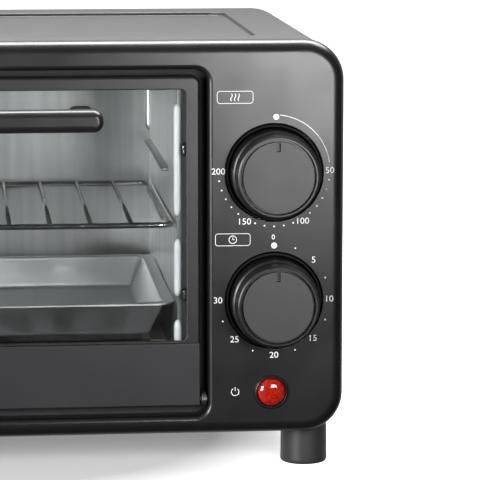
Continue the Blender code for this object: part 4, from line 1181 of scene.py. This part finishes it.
def dots_tree():
    """Printed dots round a dial: a count, a start, a step and which ones are left for numbers."""
    tree, sizes = open_tree("dial_dots", {
        "Count": "Int", "Skip every": "Int", "Start": "Float", "Step": "Float", "Ring radius": "Float",
        "Dot radius": "Float", "Centre": "Vector", "Ink": "Material",
    })
    index = add_node(tree, "GeometryNodeInputIndex").outputs["Index"]
    degrees = maths(tree, "ADD", sizes["Start"], maths(tree, "MULTIPLY", index, sizes["Step"]))
    turn = maths(tree, "RADIANS", degrees)
    points = points_at(tree, sizes, {
        "X": maths(tree, "MULTIPLY", maths(tree, "SINE", turn), sizes["Ring radius"]),
        "Z": maths(tree, "MULTIPLY", maths(tree, "COSINE", turn), sizes["Ring radius"]),
    })
    skipped = maths(tree, "LESS_THAN", maths(tree, "MODULO", index, sizes["Skip every"]), 0.5)
    left = {"Geometry": points, "Selection": skipped}
    left = add_node(tree, "GeometryNodeDeleteGeometry", left, domain="POINT")
    disc = {"Vertices": 20, "Radius": sizes["Dot radius"]}
    disc = add_node(tree, "GeometryNodeMeshCircle", disc, fill_type="NGON")
    return close_tree(tree, {"Points": left.outputs["Geometry"], "Instance": faced(tree, disc)}, sizes["Ink"])


def bars_tree():
    """Round wires side by side: how many, over what width, how long and how thick."""
    tree, sizes = open_tree("cross_wires", {
        "Count": "Int", "Width": "Float", "Length": "Float", "Wire radius": "Float", "Centre": "Vector",
        "Finish": "Material",
    })
    index = add_node(tree, "GeometryNodeInputIndex").outputs["Index"]
    share = maths(tree, "DIVIDE", maths(tree, "ADD", index, 1.0), maths(tree, "ADD", sizes["Count"], 1.0))
    across = maths(tree, "MULTIPLY", maths(tree, "SUBTRACT", share, 0.5), sizes["Width"])
    points = points_at(tree, sizes, {"X": across})
    wire = {"Vertices": 16, "Radius": sizes["Wire radius"], "Depth": sizes["Length"]}
    wire = add_node(tree, "GeometryNodeMeshCylinder", wire)
    return close_tree(tree, {"Points": points, "Instance": faced(tree, wire)}, sizes["Finish"])


def screws_tree():
    """Domed screws with a cross recess, on a grid: columns, rows, the grid's size, its place and its turn."""
    tree, sizes = open_tree("screw_grid", {
        "Columns": "Int", "Rows": "Int", "Width": "Float", "Height": "Float", "Head radius": "Float",
        "Turn": "Vector", "Centre": "Vector", "Finish": "Material",
    })
    grid = add_node(tree, "GeometryNodeMeshGrid", {
        "Size X": sizes["Width"], "Size Y": sizes["Height"], "Vertices X": sizes["Columns"],
        "Vertices Y": sizes["Rows"],
    })
    placed = add_node(tree, "GeometryNodeTransform", {
        "Geometry": grid.outputs["Mesh"], "Translation": sizes["Centre"], "Rotation": sizes["Turn"],
    })
    ball = add_node(tree, "GeometryNodeMeshUVSphere", {"Segments": 28, "Rings": 14, "Radius": 1.0})
    dome = {"Geometry": ball.outputs["Mesh"], "Scale": (1.0, 1.0, 0.45)}
    dome = add_node(tree, "GeometryNodeTransform", dome).outputs["Geometry"]
    head = add_node(tree, "GeometryNodeMeshBoolean", {"Mesh 1": dome}, operation="DIFFERENCE")
    for size in ((1.1, 0.24, 0.5), (0.24, 1.1, 0.5)):
        arm = add_node(tree, "GeometryNodeMeshCube", {"Size": size})
        raised = {"Geometry": arm.outputs["Mesh"], "Translation": (0.0, 0.0, 0.45)}
        raised = add_node(tree, "GeometryNodeTransform", raised)
        tree.links.new(raised.outputs["Geometry"], head.inputs["Mesh 2"])
    return close_tree(tree, {
        "Points": placed.outputs["Geometry"], "Instance": head.outputs["Mesh"], "Rotation": sizes["Turn"],
        "Scale": sizes["Head radius"],
    }, sizes["Finish"])


def screws():
    """Screws that hold the rear panel and the base."""
    tree = screws_tree()
    x, z = span_of("rear_panel", 0), span_of("rear_panel", 2)
    back = span_of("rear_panel", 1)[1]
    bx, by = span_of("base_plate", 0), span_of("base_plate", 1)
    under = span_of("base_plate", 2)[0]
    rules = {
        "rear_screws": ((3, 2), [side[1] - side[0] - 2 * REAR_SCREW_INSET for side in (x, z)],
                        (-math.pi / 2, 0.0, 0.0), (sum(x) / 2, back, sum(z) / 2)),
        "base_screws": ((2, 2), [side[1] - side[0] - 2 * BASE_SCREW_INSET for side in (bx, by)],
                        (math.pi, 0.0, 0.0), (sum(bx) / 2, sum(by) / 2, under)),
    }
    for name, (count, size, turn, centre) in rules.items():
        piece = grown_from(tree, name, {
            "Columns": count[0], "Rows": count[1], "Width": size[0], "Height": size[1],
            "Head radius": SCREW_HEAD_R, "Turn": turn, "Centre": centre, "Finish": SCREW_STEEL,
        })
        smooth(piece, 30)
        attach(piece, "oven")


def grown_from(tree, name, values):
    """A plain mesh object from a node tree and its input values."""
    holder = new_piece(name, bmesh.new())
    modifier = holder.modifiers.new("nodes", "NODES")
    modifier.node_group = tree
    sockets = {item.name: item.identifier for item in tree.interface.items_tree if item.in_out == "INPUT"}
    for label, value in values.items():
        modifier[sockets[label]] = value
    bpy.context.view_layer.update()
    return bake(holder)


def dial_dots():
    """The dots of both scales, and the larger dot that marks each zero."""
    tree = dots_tree()
    face = span_of("front_bezel", 1)[0]
    temp, timer = centre_of("temp_dish"), centre_of("timer_dish")
    rules = {
        "temp_dots": (temp, DIAL_LIFT["temp_dish"], 18, 6, 90.0, 10.0, 0.00042),
        "timer_dots": (timer, DIAL_LIFT["timer_dish"], 12, 2, 0.0, 22.5, 0.00042),
        "temp_zero_dot": (temp, 0.0, 2, 2, -8.0, 10.0, 0.0015),
        "timer_zero_dot": (timer, 0.0, 2, 2, -10.0, 10.0, 0.0015),
    }
    for name, (spot, lift, count, skip, start, step, radius) in rules.items():
        piece = grown_from(tree, name, {
            "Count": count, "Skip every": skip, "Start": start, "Step": step, "Ring radius": DIAL_R,
            "Dot radius": radius, "Centre": (spot.x, face - PRINT_RISE, spot.z + lift), "Ink": PRINT_INK,
        })
        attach(piece, "oven")


# CAD pieces that only need their finish


def coat_frame():
    """A finish for every carried-over sub-part, by its material slot."""
    # black_paint parts take the darkest paint: their own black with painted shade of the door gap
    finishes = {
        "black_paint": FRAME_PAINT_AND_GAP_SHADE, "shell_paint": SHELL_PAINT, "galvanised": ZINC, "rubber": RUBBER,
        "steel": PLAIN_STEEL, "heater_metal": HEATER_METAL, "ceramic": CERAMIC, "chrome": CHROME,
        "black_plastic": DARK_PLASTIC, "red_lens": DARK_PLASTIC, "pane": PANE, "switch_case": PLAIN_STEEL,
    }
    slots = {row["node"]: row["material_slot"] for row in frame["record"]["subparts"]}
    for name, node in frame["nodes"].items():
        node.data.materials.clear()
        node.data.materials.append(finishes[slots[name]])
    # the back wall takes the darker zinc: painted shade
    frame["nodes"]["cavity_back"].data.materials[0] = ZINC_BACK_PAINTED_SHADE
    for name in ("base_plate", "cavity_ceiling", "cavity_floor", "crumb_tray", "heat_shield"):
        frame["nodes"][name].data.materials[0] = ZINC_LEVEL


# Stage


def camera():
    """A long lens, from slightly above and to the left."""
    data = bpy.data.cameras.new("camera")
    data.lens = CAMERA_LENS
    data.sensor_width = 36.0
    data.clip_end = 50.0
    made = bpy.data.objects.new("camera", data)
    made.location = CAMERA_PLACE
    made.rotation_euler = (math.pi / 2 - CAMERA_PITCH, 0.0, -CAMERA_YAW)
    bpy.context.scene.collection.objects.link(made)
    bpy.context.scene.camera = made


def softbox(name, place, aim, size, power):
    """A rectangular lamp that lights and reflects, and isn't seen itself."""
    data = bpy.data.lights.new(name, "AREA")
    data.shape = "RECTANGLE"
    data.size, data.size_y = size
    data.energy = power
    made = bpy.data.objects.new(name, data)
    made.location = place
    made.rotation_mode = "QUATERNION"
    made.rotation_quaternion = (Vector(aim) - Vector(place)).to_track_quat("-Z", "Y")
    made.visible_camera = False
    bpy.context.scene.collection.objects.link(made)


def floor():
    """A pale matte floor, darker close round the oven, where its weaker glow paints a shadow."""
    shape = bmesh.new()
    bmesh.ops.create_grid(shape, x_segments=1, y_segments=1, size=8.0)
    made = new_piece("floor", shape)
    material, tree, shader = principled("pale_floor_painted_shadow", (0.80, 0.80, 0.80), 0.9)
    shader.inputs["Specular IOR Level"].default_value = 0.0
    shader.inputs["Emission Color"].default_value = (1.0, 1.0, 1.0, 1.0)
    place = tree.nodes.new("ShaderNodeTexCoord")
    reach = tree.nodes.new("ShaderNodeVectorMath")
    reach.operation = "LENGTH"
    tree.links.new(place.outputs["Object"], reach.inputs[0])
    # the glow is weaker near the oven: a painted shadow under it
    glow = spread(tree, reach.outputs["Value"], *FLOOR_GLOW_PAINTED_SHADOW)
    tree.links.new(glow, shader.inputs["Emission Strength"])
    made.data.materials.append(material)
    made.visible_glossy = False
    made.visible_diffuse = False


def studio():
    """White to the eye, and a soft uneven room to the surfaces: bright behind, dim in front and below."""
    world = bpy.data.worlds.new("studio")
    bpy.context.scene.world = world
    world.use_nodes = True
    tree = world.node_tree
    place = tree.nodes.new("ShaderNodeTexCoord")
    split = tree.nodes.new("ShaderNodeSeparateXYZ")
    tree.links.new(place.outputs["Generated"], split.inputs["Vector"])
    total = 0.0
    for axis, start, stop, low, high in ROOM:
        part = spread(tree, split.outputs[axis], low, high, start, stop)
        total = maths(tree, "ADD", total, part)
    room = tree.nodes["Background"]
    tree.links.new(total, room.inputs["Strength"])
    room.inputs["Color"].default_value = (1.0, 1.0, 1.0, 1.0)
    backdrop = add_node(tree, "ShaderNodeBackground", {"Color": (1.0, 1.0, 1.0, 1.0)})
    path = add_node(tree, "ShaderNodeLightPath")
    mix = add_node(tree, "ShaderNodeMixShader", {
        0: path.outputs["Is Camera Ray"], 1: room.outputs["Background"], 2: backdrop.outputs["Background"],
    })
    tree.links.new(mix.outputs["Shader"], tree.nodes["World Output"].inputs["Surface"])


def stage():
    """The floor, the room and the lamps."""
    floor()
    studio()
    for name, place, aim, size, power in LAMPS:
        softbox(name, place, aim, size, power)
    bpy.context.scene.view_settings.view_transform = "Standard"


def main():
    """Everything, in the order in which it is built."""
    camera()
    stage()
    coat_frame()
    bezel()
    shell()
    door_frame()
    lower_panel()
    handle()
    for name in ("temp", "timer"):
        knob(name, f"{name}_control")
        dish(name)
    lamp()
    feet()
    rear_fittings()
    side_walls()
    front_flange()
    baking_tray()
    wire_rack()
    heaters()
    glass_clips()
    hinge_metal()
    marks()
    dial_dots()
    screws()


main()
